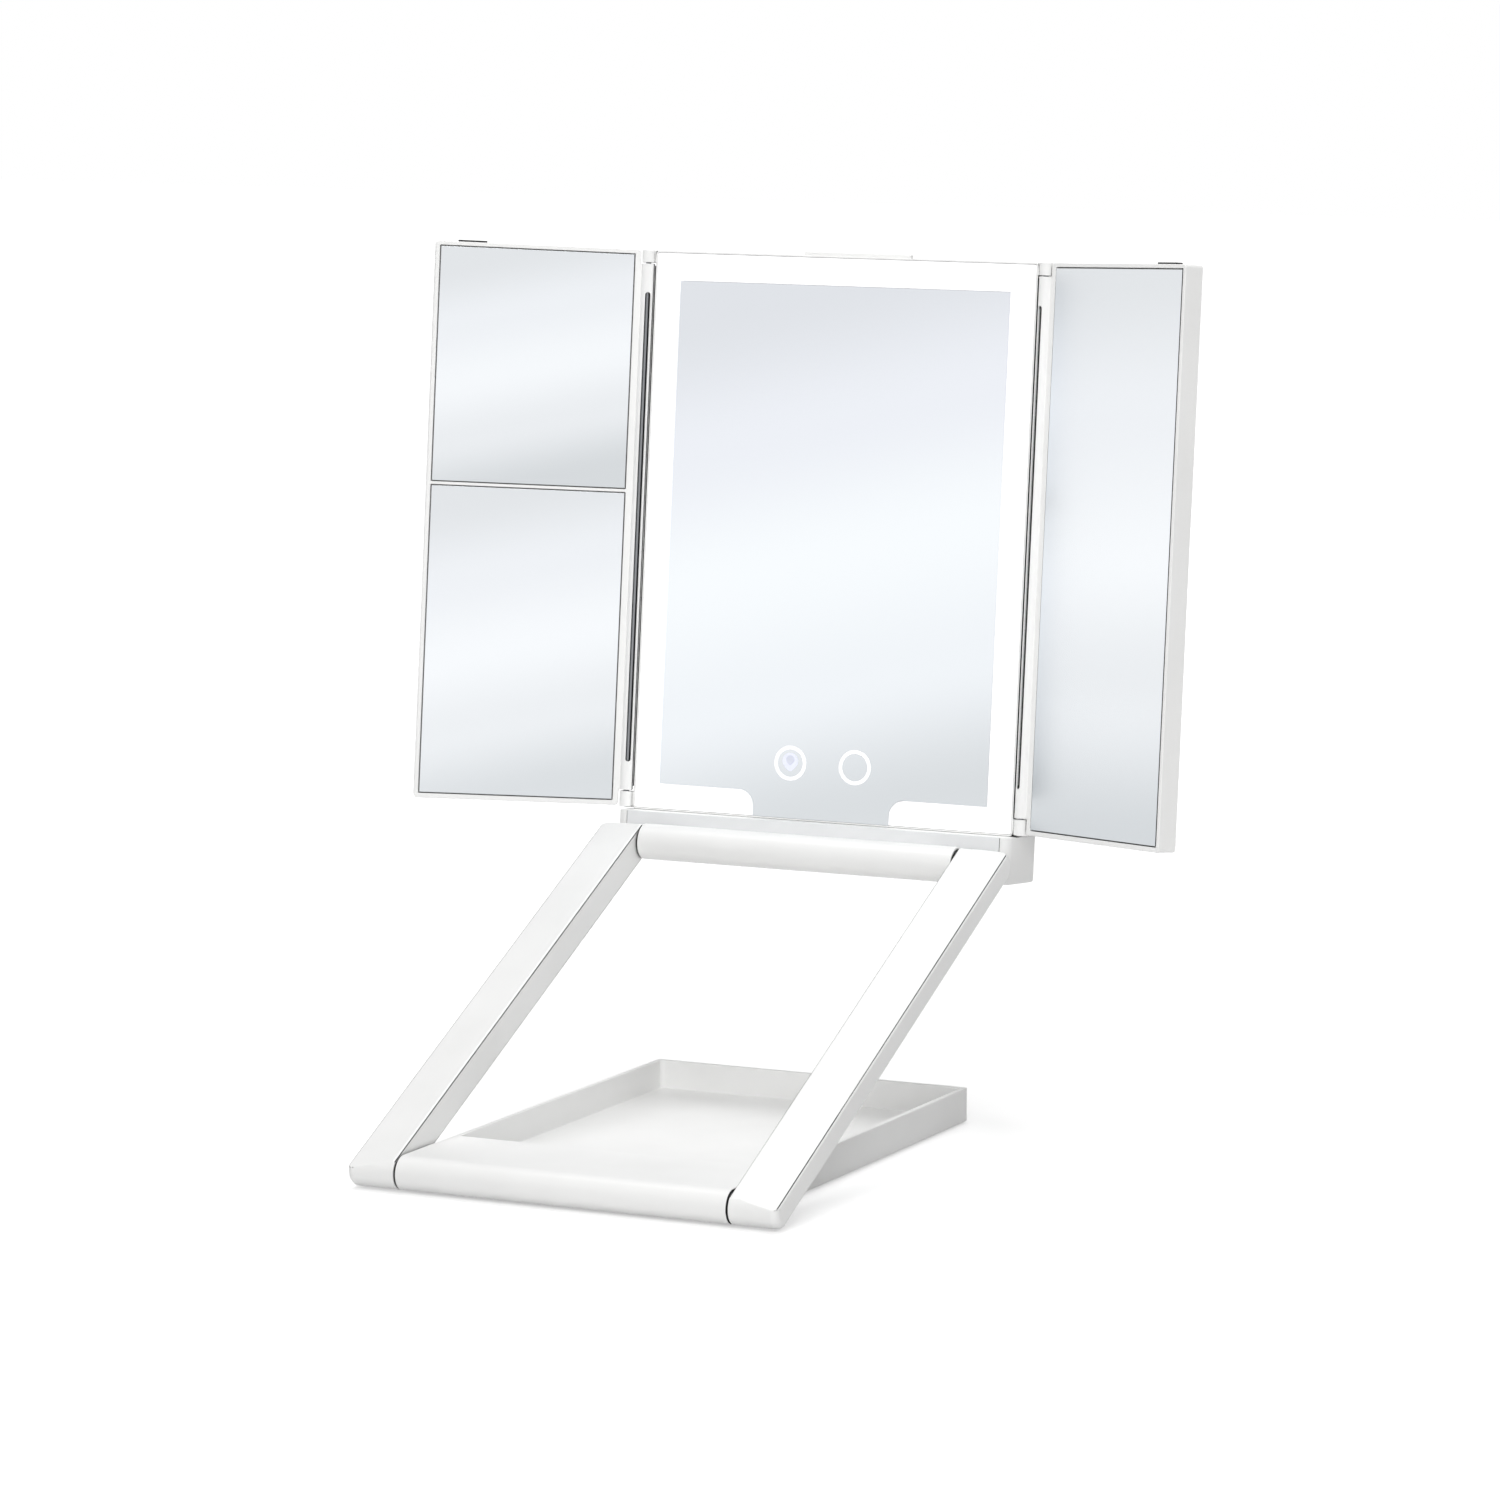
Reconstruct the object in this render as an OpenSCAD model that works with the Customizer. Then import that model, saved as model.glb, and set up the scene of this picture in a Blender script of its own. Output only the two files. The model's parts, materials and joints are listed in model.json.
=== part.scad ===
// Trifold vanity mirror on a folding stand.
// The tray lies on the table, two arms rise from its front bar, and the lit
// mirror with its two wings turns on the crossbar between the arms.
// Origin: centre of the front foot's underside. +Y runs to the back, +Z up.

/* [Pose] */
// Angle of the arms above the table
arm_rise = 25.5; // [5:0.5:60]
// Lean of the mirror back from upright
lean = 5; // [0:0.5:20]
// Angle of each wing forward from flat
wing_swing = 30; // [0:1:80]

/* [Stand] */
// Width across the outsides of the arms
arm_span = 191; // [180:1:210]
// Distance between the lower and upper hinge axes
arm_len = 244; // [220:1:270]
// Width of each arm
arm_w = 21.3; // [18:0.1:24]
// Diameter of the front bar and the arm ends
bar_d = 14.4; // [13:0.1:16]
// Diameter of the crossbar
crossbar_d = 15.4; // [13:0.1:15.8]
// Fall of an arm's face from its inner edge to its outer edge
arm_fall = 3; // [0.5:0.1:4]
// Chamfer along the arm's inner and upper edges
arm_edge = 0.8; // [0.3:0.1:1.2]
// Radius of the arm's outer rim, underneath and round both ends
arm_rim = 3.2; // [1:0.1:3.6]
// Wall of the hollow arm
arm_wall = 2.4; // [1.8:0.1:3]
// Solid length round each hinge axis of an arm
arm_boss = 15; // [12:0.5:20]
// Thickness of the arm's underside cover
arm_cover_t = 1.8; // [1.2:0.1:2.4]

/* [Tray] */
// Length of the flat ledge behind the lower hinge axis
ledge_len = 44.5; // [36:0.5:60]
// Wall round the tray's well
tray_rim = 2.4; // [1.6:0.1:4]
// Floor of the tray's well
tray_floor = 2; // [1.6:0.1:3]
// Corner radius of the well
well_r = 2; // [1:0.1:6]
// Outer radius of the tray's rear corners
tray_corner = 1.6; // [1:0.1:6]
// Gap from the tray's end to the crossbar when folded
tray_gap = 1.1; // [1:0.1:5]
// Thickness of the base cover
base_cover_t = 2; // [1.8:0.1:3]
// Height of the ballast block
ballast_t = 8.6; // [4:0.1:9]
// Gap round the ballast block in its chamber
ballast_gap = 1; // [0.5:0.1:3]
// Distance that the feet stand proud of the underside
foot_h = 0.8; // [0.4:0.1:1.5]
// Depth of the feet in their grooves
foot_sink = 0.7; // [0.4:0.1:1]
// Width of the foot strips from front to back
foot_w = 8; // [6:0.5:10]
// Length of the foot strips across the stand
foot_len = 88; // [60:1:92]
// Distance from the lower hinge axis back to the front foot's middle
foot_setback = 12; // [10:0.5:20]

/* [Mirror panel] */
// Width of the centre frame between the hinge barrels
panel_w = 179.2; // [170:0.2:196]
// Height of the centre frame above the chin
panel_h = 242.8; // [220:1:270]
// Distance from the upper hinge axis back to the mirror's face
face_setback = 20.4; // [19:0.1:24]
// Depth of the centre frame
frame_t = 10; // [9:0.1:14]
// Depth of the rear cover
rear_t = 6; // [5:0.1:10]
// Corner radius of the panel
panel_corner = 1.5; // [0.5:0.1:4]
// Frame border beside the light band
frame_rim = 0.8; // [0.8:0.1:2.5]
// Thickness of the mirror plates and the light band at the centre
centre_glass_t = 3; // [2:0.1:4]
// Width of the light band at the sides
band_w = 11.6; // [10:0.1:18]
// Height of the light band at the top
band_head = 12; // [8:0.1:18]
// Height of the light band's two tabs
tab_h = 11.1; // [8:0.1:16]
// Width of the mirror's tongue between the tabs
tongue_w = 64; // [50:1:90]
// Radius of the tabs' upper inner corners
tab_r = 7; // [3:0.5:10]
// Depth of the hollow behind the light band
lamp_depth = 3.6; // [3:0.1:5]
// Width of the ledge and rib that the glass rests on
ledge_in = 2; // [1:0.1:3]
// Wall between the lamp side and the battery side
mid_wall = 1.6; // [1.2:0.1:2.4]
// Wall of the frame's sides behind the glass
frame_wall = 1.4; // [1.2:0.1:3]
// Wall of the rear cover
rear_wall = 2; // [1.4:0.1:3]
// Width of the finger lip on the rear top edge
lip_w = 50; // [30:1:80]
// Height of the finger lip
lip_h = 2; // [1:0.1:4]
// Thickness of the finger lip
lip_t = 3; // [2:0.1:5]

/* [Touch keys] */
// Outer diameter of a touch ring
ring_d = 15.1; // [10:0.1:20]
// Width of a touch ring's line
ring_line = 1.65; // [1:0.05:2.5]
// Distance between the touch rings' centres
ring_pitch = 30.4; // [24:0.1:50]
// Height of the rings above the chin
ring_rise = 24.6; // [22:0.1:50]
// Diameter of the touch springs behind the rings
spring_d = 8; // [5:0.5:12]
// Depth of the rings in the mirror
ring_t = 0.6; // [0.3:0.1:1]

/* [Chin] */
// Distance that the chin stands out past the centre frame on each side
chin_over = 2.7; // [0:0.1:3]
// Height of the chin's top above the upper hinge axis
chin_top = 12.2; // [10:0.1:16]
// Depth of the chin's underside below the upper hinge axis
chin_drop = 7.8; // [6:0.1:10]
// Depth of the chin from front to back
chin_t = 31.6; // [28:0.1:36]
// Radius of the chin's upright edges
chin_edge = 3.9; // [2:0.1:6]
// Radius of the chin's lower rear edge
chin_heel = 5; // [2:0.1:7]
// Wall of the chin
chin_wall = 2.2; // [1.6:0.1:3]
// Distance from the chin's ends in to the seams of its front strip
strip_in = 4.6; // [4.2:0.1:12]
// Thickness of the chin's front strip
strip_t = 2.6; // [2:0.1:4]
// Width of the neck between crossbar and chin
neck_w = 120; // [80:1:136]
// Height of the neck
neck_h = 10; // [8:0.1:12]

/* [Wings] */
// Distance from the hinge axis to a wing's free edge
wing_w = 92.4; // [80:0.1:93]
// Thickness of a wing
wing_t = 9.2; // [8:0.1:12]
// Gap between a wing and the top of the chin
wing_gap = 1.1; // [0.6:0.1:2]
// Border at the wing's free edge
wing_rim = 1.8; // [1.2:0.1:3]
// Distance from the hinge axis to the wing's mirror
wing_inner = 5.8; // [5:0.1:8]
// Border above the wing's mirror
wing_head = 1.7; // [1.2:0.1:3]
// Border below the wing's mirror
wing_foot = 2.1; // [1.2:0.1:3]
// Thickness of the wing mirrors
wing_glass_t = 2; // [1.5:0.1:3]
// Thickness of the tape under the wing mirrors
tape_t = 0.4; // [0.2:0.1:0.8]
// Distance from the mirror's sides in to the tape's ends
tape_in = 4; // [2:0.5:10]
// Wall between a wing's mirror and its hollow
wing_floor = 1.6; // [1.2:0.1:2.4]
// Thickness of a wing's back cover
wing_cover_t = 1.8; // [1.2:0.1:2.4]
// Border round a wing's back cover
cover_rim = 3; // [2:0.1:6]
// Corner radius of a wing's back cover
cover_corner = 2; // [1:0.1:3]
// Height of the left wing's lower mirror
lower_mirror_h = 134.3; // [80:0.1:170]
// Divider between the left wing's two mirrors
divider_h = 1.3; // [1:0.1:3]
// Length of the finger notch in a wing's top edge
notch_len = 12.5; // [8:0.1:20]
// Distance from the free edge to the notch's middle
notch_at = 16; // [12:0.1:30]
// Depth of the finger notch
notch_deep = 1.6; // [0.4:0.1:2]
// Wall in front of the finger notch and behind it
notch_wall = 3; // [2.6:0.1:4]

/* [Hinges] */
// Diameter of the hinge barrels
barrel_d = 5.6; // [5:0.1:7]
// Diameter of the steel hinge rods
rod_d = 2.4; // [1.8:0.1:3]
// Height of the top knuckles
top_knuckle = 5.6; // [4:0.1:10]
// Height of the bottom knuckles above the chin
bottom_knuckle = 7.8; // [6:0.1:12]
// Gap between the bottom knuckles and the chin
knuckle_lift = 0.7; // [0.3:0.1:2]
// Plastic left above the end of a hinge rod
rod_cap = 1; // [0.6:0.1:2]
// Distance from the barrel's ends to its slot
slot_end = 12.4; // [8:0.1:20]
// Width of the barrel's slot
slot_w = 2.2; // [1.6:0.1:2.4]
// Diameter of the stand's hinge shafts
shaft_d = 6; // [5:0.1:7]
// Length of a shaft inside an arm
shaft_in_arm = 14; // [10:0.5:16]
// Length of a shaft inside the bar
shaft_in_bar = 22; // [16:0.5:30]
// Wall of the front bar round the washers' seats
washer_wall = 0.8; // [0.6:0.1:1.6]
// Depth of the washers' seats
washer_seat = 1; // [0.6:0.1:1.6]

/* [Electrics] */
// Length of the battery pack
battery_len = 90; // [60:1:110]
// Width of the battery pack
battery_w = 60; // [40:1:80]
// Thickness of the battery pack
battery_t = 5; // [4:0.1:5.2]
// Corner radius of the battery pack
battery_corner = 3; // [1:0.5:8]
// Width of a LED strip
led_w = 6.6; // [5:0.1:7.4]
// Distance between LEDs
led_pitch = 12; // [8:0.5:20]
// Width of the control board
board_w = 62; // [50:1:80]
// Height of the control board
board_h = 34; // [20:1:40]
// Thickness of the circuit boards
board_t = 1.6; // [0.8:0.1:1.7]
// Width of the charging board
charge_board_w = 24; // [16:1:40]
// Depth of the charging board from front to back
charge_board_d = 18; // [12:1:22]
// Spacing of the chips on the control board
chip_pitch = 17; // [10:1:19]
// Width of a chip on the control board
chip_w = 8; // [4:0.5:9]
// Depth of the charging socket's body
socket_d = 8; // [6:0.5:10]
// Width of the charging socket
port_w = 9; // [8:0.1:12]
// Height of the charging socket
port_h = 3.3; // [3:0.1:5]
// Wall of the charging socket
socket_wall = 0.4; // [0.3:0.05:0.6]

/* [Fasteners] */
// Shank diameter of the small screws
screw_d = 2.4; // [2:0.1:2.8]
// Head diameter of the small screws
head_d = 4.4; // [3.6:0.1:5]
// Head height of the small screws
head_t = 1.1; // [0.8:0.1:1.3]
// Diameter of the screw bosses
boss_d = 6.4; // [5.6:0.1:8]
// Depth that a screw boss sinks into the wall beside it
boss_root = 0.6; // [0.3:0.1:1]
// Depth of the thread holes past the screws' ends
thread_gap = 0.5; // [0.2:0.1:1]
// Length of the base screws
base_screw_len = 7; // [5:0.5:9]
// Length of the arm cover screws
arm_screw_len = 5; // [4:0.5:6]
// Length of the crossbar screws
neck_screw_len = 9; // [7:0.5:10]
// Length of the chin screws
chin_screw_len = 6; // [5:0.5:8]
// Length of the rear cover screws
rear_screw_len = 5; // [4:0.5:5]
// Diameter of the wing magnets
magnet_d = 6; // [4:0.1:8]
// Distance of the wing magnets from the wing's top and bottom
magnet_in = 40; // [20:1:80]
// Thickness of the wing magnets
magnet_t = 2; // [1:0.1:2.4]

/* [Clearances] */
// Gap between an arm and the bar beside it
side_gap = 0.9; // [0.3:0.05:1.1]
// Gap between a wing's mirror and the centre mirror when closed
close_gap = 0.4; // [0.3:0.05:0.8]
// Gap between the knuckles and the barrels
knuckle_gap = 0.5; // [0.3:0.05:0.8]
// Gap between the frame's side and a barrel
barrel_gap = 0.7; // [0.3:0.05:1]
// Gap round the wing mirrors in their pockets
mirror_gap = 0.5; // [0.1:0.05:0.6]
// Gap round pieces that are let into a pocket
seat = 0.15; // [0.1:0.05:0.3]
// Radial clearance of a running shaft
run_fit = 0.05; // [0.02:0.01:0.09]
// Radial clearance of a fixed shaft or screw
fix_fit = 0.02; // [0.01:0.01:0.05]

/* [Hidden] */
$fn = 48;
EPS = 0.01;
REACH = 400;

// Stand
bar_r = bar_d / 2;
axis_z = foot_h + bar_r;
arm_out = arm_span / 2;
arm_in = arm_out - arm_w;
bar_half = arm_in - side_gap;
crossbar_r = crossbar_d / 2;
tray_end = arm_len - crossbar_r - tray_gap;
shaft_r = shaft_d / 2;
washer_t = washer_seat + side_gap - run_fit * 2;
washer_r = bar_r - washer_wall - seat;

// Front block of the tray, in the lower hinge's frame
pan_half = bar_half - shaft_in_bar - tray_rim;
pan_front = 1;
pan_back = ledge_len - tray_rim;
boss_r = boss_d / 2;
screw_r = screw_d / 2;
head_r = head_d / 2;
head_seat = head_t + seat;
base_boss_x = pan_half - boss_r + boss_root;
base_boss_y = [pan_front + boss_r - boss_root, pan_back - boss_r + boss_root];
rear_foot_y = tray_end - foot_w / 2 - tray_rim;

// Mirror panel, in the upper hinge's frame: x across, y back, z up the panel
panel_half = panel_w / 2;
panel_top = chin_top + panel_h;
back_of_frame = face_setback + frame_t;
back_of_panel = back_of_frame + rear_t;
glass_half = panel_half - frame_rim;
glass_low = chin_top + frame_rim;
glass_top = panel_top - frame_rim;
band_half = glass_half - band_w;
tab_top = glass_low + tab_h;
band_top = glass_top - band_head;
lamp_front = face_setback + centre_glass_t;
mid_front = lamp_front + lamp_depth;
mid_back = mid_front + mid_wall;
rib_t = ledge_in;
rear_in = back_of_panel - rear_wall;
ring_z = chin_top + ring_rise;
rear_boss_x = panel_half - frame_wall - boss_r - boss_root;
rear_boss_z = [for (k = [0.1, 0.5, 0.9]) chin_top + k * panel_h];

// Chin, in the upper hinge's frame
chin_front = face_setback - wing_t - close_gap;
chin_back = chin_front + chin_t;
chin_half = panel_half + chin_over;
chin_w = 2 * chin_half;
strip_w = chin_w - 2 * strip_in;
chin_mid_z = (chin_top - chin_drop) / 2;
charge_board_half = charge_board_w / 2 - chin_wall;
charge_board_front = chin_back - chin_wall - charge_board_d;
charge_board_z = chin_mid_z - port_h / 2 - board_t;
neck_screw_x = [-0.4 * neck_w, -0.13 * neck_w, 0.13 * neck_w, 0.4 * neck_w];
chin_screw_x = [-0.8 * panel_half, -0.3 * panel_half, 0.3 * panel_half, 0.8 * panel_half];
chin_screw_y = (mid_front + back_of_frame) / 2;

// Wings, in their own frame: x outward from the hinge axis, y back
barrel_r = barrel_d / 2;
rod_r = rod_d / 2;
hinge_x = panel_half + barrel_gap + barrel_r;
wing_low = chin_top + wing_gap;
wing_front = close_gap;
wing_back = wing_front + wing_t;
knuckle_low = chin_top + knuckle_lift;
barrel_low = chin_top + bottom_knuckle + knuckle_gap / 2;
barrel_top = panel_top - top_knuckle - knuckle_gap / 2;
wing_clear = barrel_r + knuckle_gap;
wing_glass_low = wing_low + wing_foot;
wing_glass_top = panel_top - wing_head;
wing_glass_out = wing_w - wing_rim;
upper_mirror_low = wing_glass_low + lower_mirror_h + divider_h;
pocket_back = wing_front + wing_glass_t + tape_t;
hollow_front = pocket_back + wing_floor;
hollow_back = wing_back - wing_cover_t;
magnet_z = [wing_low + magnet_in, panel_top - magnet_in];
magnet_x = wing_w - wing_rim - magnet_d;

WHITE = [0.95, 0.95, 0.94];
STRIP = [0.88, 0.88, 0.88];
SILVER = [0.75, 0.77, 0.8];
MIRROR = [0.8, 0.85, 0.9];
LIGHT = [1, 1, 0.97];
DARK = [0.2, 0.2, 0.22];
BOARD = [0.1, 0.4, 0.2];
RUBBER = [0.8, 0.8, 0.8];

// ---- Frames and general shapes ----

// Lower hinge axis: x across, y back, z up, origin on the axis
module lower_frame() {
    translate([0, -foot_setback, axis_z]) children();
}

// Arms: y runs along the arm from the lower axis
module arm_frame() {
    lower_frame() rotate([arm_rise, 0, 0]) children();
}

// Upper hinge axis: z runs up the leaning mirror
module upper_frame() {
    arm_frame() translate([0, arm_len, 0]) rotate([-arm_rise - lean, 0, 0]) children();
}

// Wing at a side (1 right, -1 left): x outward from its hinge axis
module wing_frame(side) {
    upper_frame() mirror([side < 0 ? 1 : 0, 0, 0])
        translate([hinge_x, face_setback, 0]) rotate([0, 0, -wing_swing]) children();
}

module both_sides() {
    children();
    mirror([1, 0, 0]) children();
}

// Extrudes a (y, z) profile across x, centred
module across(width) {
    rotate([90, 0, 90]) linear_extrude(width, center = true) children();
}

// Extrudes an (x, z) profile from y = from to y = to
module backward(from, to) {
    translate([0, to, 0]) rotate([90, 0, 0]) linear_extrude(to - from) children();
}

// Upright block between two corners
module block(low, high) {
    translate(low) cube(high - low);
}

// Cylinder along x
module rod_x(r, from, to) {
    translate([from, 0, 0]) rotate([0, 90, 0]) cylinder(r = r, h = to - from);
}

// Cylinder along y
module rod_y(r, from, to) {
    translate([0, from, 0]) rotate([-90, 0, 0]) cylinder(r = r, h = to - from);
}

// Rectangle between two corners, with rounded corners
module plate(low, high, r) {
    x0 = low[0];
    y0 = low[1];
    x1 = high[0];
    y1 = high[1];
    translate([x0 + r, y0]) square([x1 - x0 - 2 * r, y1 - y0]);
    translate([x0, y0 + r]) square([x1 - x0, y1 - y0 - 2 * r]);
    for (x = [x0 + r, x1 - r], y = [y0 + r, y1 - r]) translate([x, y]) circle(r = r);
}

// Small pan-head screw: head from z = 0 down, shank up
module screw(length) {
    translate([0, 0, -head_t]) cylinder(r = head_r, h = head_t);
    translate([0, 0, -EPS]) cylinder(r = screw_r, h = length + EPS);
}

// Space that a screw needs: shank hole and head recess
module screw_space(length) {
    translate([0, 0, -head_t - REACH]) cylinder(r = head_r + seat, h = REACH + head_t);
    translate([0, 0, -EPS]) cylinder(r = screw_r + fix_fit, h = length + EPS);
}

// ---- Base ----

module base_screw_places() {
    for (x = [-base_boss_x, base_boss_x], y = base_boss_y)
        translate([x, y, -bar_r + head_seat]) children();
}

module pan() {
    difference() {
        block([-pan_half, pan_front, -bar_r - EPS], [pan_half, pan_back, bar_r - tray_rim]);
        base_screw_places() translate([0, 0, base_cover_t - head_seat]) cylinder(r = boss_r, h = bar_d);
    }
}

module tray_shell() {
    color(WHITE) lower_frame() difference() {
        intersection() {
            across(2 * bar_half) union() {
                circle(r = bar_r);
                translate([0, -bar_r]) square([tray_end, bar_d]);
            }
            translate([0, 0, -bar_r]) linear_extrude(bar_d)
                plate([-bar_half, -4 * bar_r], [bar_half, tray_end], tray_corner);
        }
        translate([0, 0, -bar_r + tray_floor]) linear_extrude(bar_d)
            plate([-bar_half + tray_rim, ledge_len], [bar_half - tray_rim, tray_end - tray_rim], well_r);
        pan();
        both_sides() {
            rod_x(shaft_r + fix_fit, bar_half - shaft_in_bar, bar_half + EPS);
            rod_x(washer_r + seat, bar_half - washer_seat, bar_half + EPS);
        }
        base_screw_places() cylinder(r = screw_r + fix_fit, h = base_screw_len + thread_gap);
        translate([0, rear_foot_y, -bar_r]) foot_space();
    }
}

module foot_space() {
    block([-foot_len / 2 - seat, -foot_w / 2 - seat, -EPS],
        [foot_len / 2 + seat, foot_w / 2 + seat, foot_sink]);
}

module foot_strip() {
    block([-foot_len / 2, -foot_w / 2, -foot_h], [foot_len / 2, foot_w / 2, foot_sink]);
}

module base_cover() {
    color(WHITE) lower_frame() difference() {
        block([-pan_half + seat, pan_front + seat, -bar_r],
            [pan_half - seat, pan_back - seat, -bar_r + base_cover_t]);
        base_screw_places() screw_space(base_cover_t);
        translate([0, foot_setback, -bar_r]) foot_space();
    }
}

module ballast_block() {
    half = base_boss_x - boss_r - ballast_gap;
    color(DARK) lower_frame() translate([0, 0, -bar_r + base_cover_t])
        block([-half, pan_front + ballast_gap, 0], [half, pan_back - ballast_gap, ballast_t]);
}

module front_foot() {
    color(RUBBER) lower_frame() translate([0, foot_setback, -bar_r]) foot_strip();
}

module rear_foot() {
    color(RUBBER) lower_frame() translate([0, rear_foot_y, -bar_r]) foot_strip();
}

module base_screws() {
    color(SILVER) lower_frame() base_screw_places() screw(base_screw_len);
}

// ---- Stand hinges ----

module shaft_pair() {
    both_sides() rod_x(shaft_r, bar_half - shaft_in_bar, arm_in + shaft_in_arm);
}

module washer_pair() {
    both_sides() difference() {
        rod_x(washer_r, bar_half - washer_seat, bar_half - washer_seat + washer_t);
        rod_x(shaft_r + run_fit, bar_half - 2 * washer_seat, arm_in);
    }
}

module lower_hinge_shafts() {
    color(SILVER) lower_frame() shaft_pair();
}

module lower_friction_washers() {
    color(DARK) lower_frame() washer_pair();
}

module upper_hinge_shafts() {
    color(SILVER) upper_frame() shaft_pair();
}

module upper_friction_washers() {
    color(DARK) upper_frame() washer_pair();
}

// ---- Arms ----

arm_screw_y = [arm_boss + boss_r - boss_root, arm_len - arm_boss - boss_r + boss_root];
arm_mid_x = (arm_in + arm_out) / 2;
arm_ceiling = bar_r - arm_fall - arm_wall;

// Half of an arm's side outline: distance from the hinge axis, and place across the arm
module rim_section() {
    square([bar_r - arm_rim, arm_w]);
    square([bar_r, arm_w - arm_rim]);
    translate([bar_r - arm_rim, arm_w - arm_rim]) circle(r = arm_rim);
}

// Round-ended bar from one hinge axis to the other, its outer rim rounded
module arm_blank() {
    translate([arm_in, 0, 0]) {
        for (end = [0, 1]) translate([0, end * arm_len, 0]) rotate([0, 90, 0]) rotate([0, 0, end * 180 - 180])
            rotate_extrude(angle = 180) rim_section();
        for (side = [0, 1]) backward(0, arm_len) mirror([0, side]) mirror([1, -1]) rim_section();
    }
}

// Section that cuts the sloping face and the small chamfers
module arm_section() {
    polygon([
        [arm_in + arm_edge, -bar_r], [arm_out, -bar_r], [arm_out, bar_r - arm_fall - arm_edge],
        [arm_out - arm_edge, bar_r - arm_fall + arm_edge * arm_fall / arm_w],
        [arm_in + arm_edge, bar_r - arm_edge * arm_fall / arm_w],
        [arm_in, bar_r - arm_edge], [arm_in, -bar_r + arm_edge]
    ]);
}

module arm_hollow() {
    difference() {
        block([arm_in + arm_wall, arm_boss, -bar_r - EPS],
            [arm_out - arm_wall, arm_len - arm_boss, arm_ceiling]);
        for (y = arm_screw_y) translate([arm_mid_x, y, -bar_r + arm_cover_t]) cylinder(r = boss_r, h = bar_d);
    }
}

module arm_screw_places() {
    for (y = arm_screw_y) translate([arm_mid_x, y, -bar_r + head_seat]) children();
}

module arm() {
    difference() {
        intersection() {
            arm_blank();
            backward(-bar_d, arm_len + bar_d) arm_section();
        }
        arm_hollow();
        for (y = [0, arm_len]) translate([0, y, 0])
            rod_x(shaft_r + run_fit, arm_in - EPS, arm_in + shaft_in_arm + seat);
        arm_screw_places() cylinder(r = screw_r + fix_fit, h = arm_screw_len + thread_gap);
    }
}

module arm_cover() {
    difference() {
        block([arm_in + arm_wall + seat, arm_boss + seat, -bar_r],
            [arm_out - arm_wall - seat, arm_len - arm_boss - seat, -bar_r + arm_cover_t]);
        arm_screw_places() screw_space(arm_cover_t);
    }
}

module right_arm() {
    color(WHITE) arm_frame() arm();
}

module left_arm() {
    color(WHITE) arm_frame() mirror([1, 0, 0]) arm();
}

module right_arm_cover() {
    color(WHITE) arm_frame() arm_cover();
}

module left_arm_cover() {
    color(WHITE) arm_frame() mirror([1, 0, 0]) arm_cover();
}

module arm_cover_screws() {
    color(SILVER) arm_frame() both_sides() arm_screw_places() screw(arm_screw_len);
}

// ---- Crossbar and chin ----

module neck_screw_places() {
    for (x = neck_screw_x) translate([x, chin_front + strip_t, 0]) rotate([90, 0, 0]) children();
}

module crossbar() {
    color(WHITE) upper_frame() difference() {
        union() {
            rod_x(crossbar_r, -bar_half, bar_half);
            block([-neck_w / 2, 0, -neck_h / 2], [neck_w / 2, chin_front, neck_h / 2]);
        }
        both_sides() {
            rod_x(shaft_r + fix_fit, bar_half - shaft_in_bar, bar_half + EPS);
            rod_x(washer_r + seat, bar_half - washer_seat, bar_half + EPS);
        }
        neck_screw_places() cylinder(r = screw_r + fix_fit, h = neck_screw_len + thread_gap);
    }
}

module crossbar_screws() {
    color(SILVER) upper_frame() neck_screw_places() screw(neck_screw_len);
}

module chin_screw_places() {
    for (x = chin_screw_x) translate([x, chin_screw_y, chin_top - chin_wall]) children();
}

// Outline of the charging socket, grown by extra
module socket_outline(extra) {
    plate([-port_w / 2 - extra, chin_mid_z - port_h / 2 - extra],
        [port_w / 2 + extra, chin_mid_z + port_h / 2 + extra], port_h / 2 + extra - EPS);
}

module chin_housing() {
    color(WHITE) upper_frame() chin_shell();
    color(WHITE) upper_frame() for (x = [-1, 1] * charge_board_half)
        block([x - chin_wall / 2, charge_board_front, -chin_drop + chin_wall - EPS],
            [x + chin_wall / 2, chin_back - chin_wall + EPS, charge_board_z]);
}

module chin_shell() {
    difference() {
        intersection() {
            translate([0, 0, -chin_drop]) linear_extrude(chin_top + chin_drop)
                plate([-chin_half, chin_front], [chin_half, chin_back], chin_edge);
            across(chin_w) union() {
                translate([chin_front, -chin_drop + chin_heel])
                    square([chin_t, chin_top + chin_drop - chin_heel]);
                translate([chin_front, -chin_drop]) square([chin_t - chin_heel, chin_heel + EPS]);
                translate([chin_back - chin_heel, -chin_drop + chin_heel]) circle(r = chin_heel);
            }
        }
        block([-strip_w / 2, chin_front - EPS, -chin_drop - EPS],
            [strip_w / 2, chin_front + strip_t, chin_top + EPS]);
        block([-strip_w / 2 + chin_wall, chin_front, -chin_drop + chin_wall],
            [strip_w / 2 - chin_wall, chin_back - chin_wall, chin_top - chin_wall]);
        backward(chin_back - 2 * chin_wall, chin_back + EPS) socket_outline(seat);
        chin_screw_places() cylinder(r = screw_r + fix_fit, h = chin_wall + EPS);
    }
}

module chin_front_strip() {
    color(STRIP) upper_frame() difference() {
        block([-strip_w / 2 + seat, chin_front, -chin_drop],
            [strip_w / 2 - seat, chin_front + strip_t, chin_top]);
        neck_screw_places() cylinder(r = screw_r + fix_fit, h = strip_t + EPS);
    }
}

module chin_screws() {
    color(SILVER) upper_frame() chin_screw_places() screw(chin_screw_len);
}

module charging_board() {
    color(BOARD) upper_frame()
        block([-charge_board_half - chin_wall, charge_board_front, charge_board_z],
            [charge_board_half + chin_wall, chin_back - chin_wall - seat, charge_board_z + board_t]);
}

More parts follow.
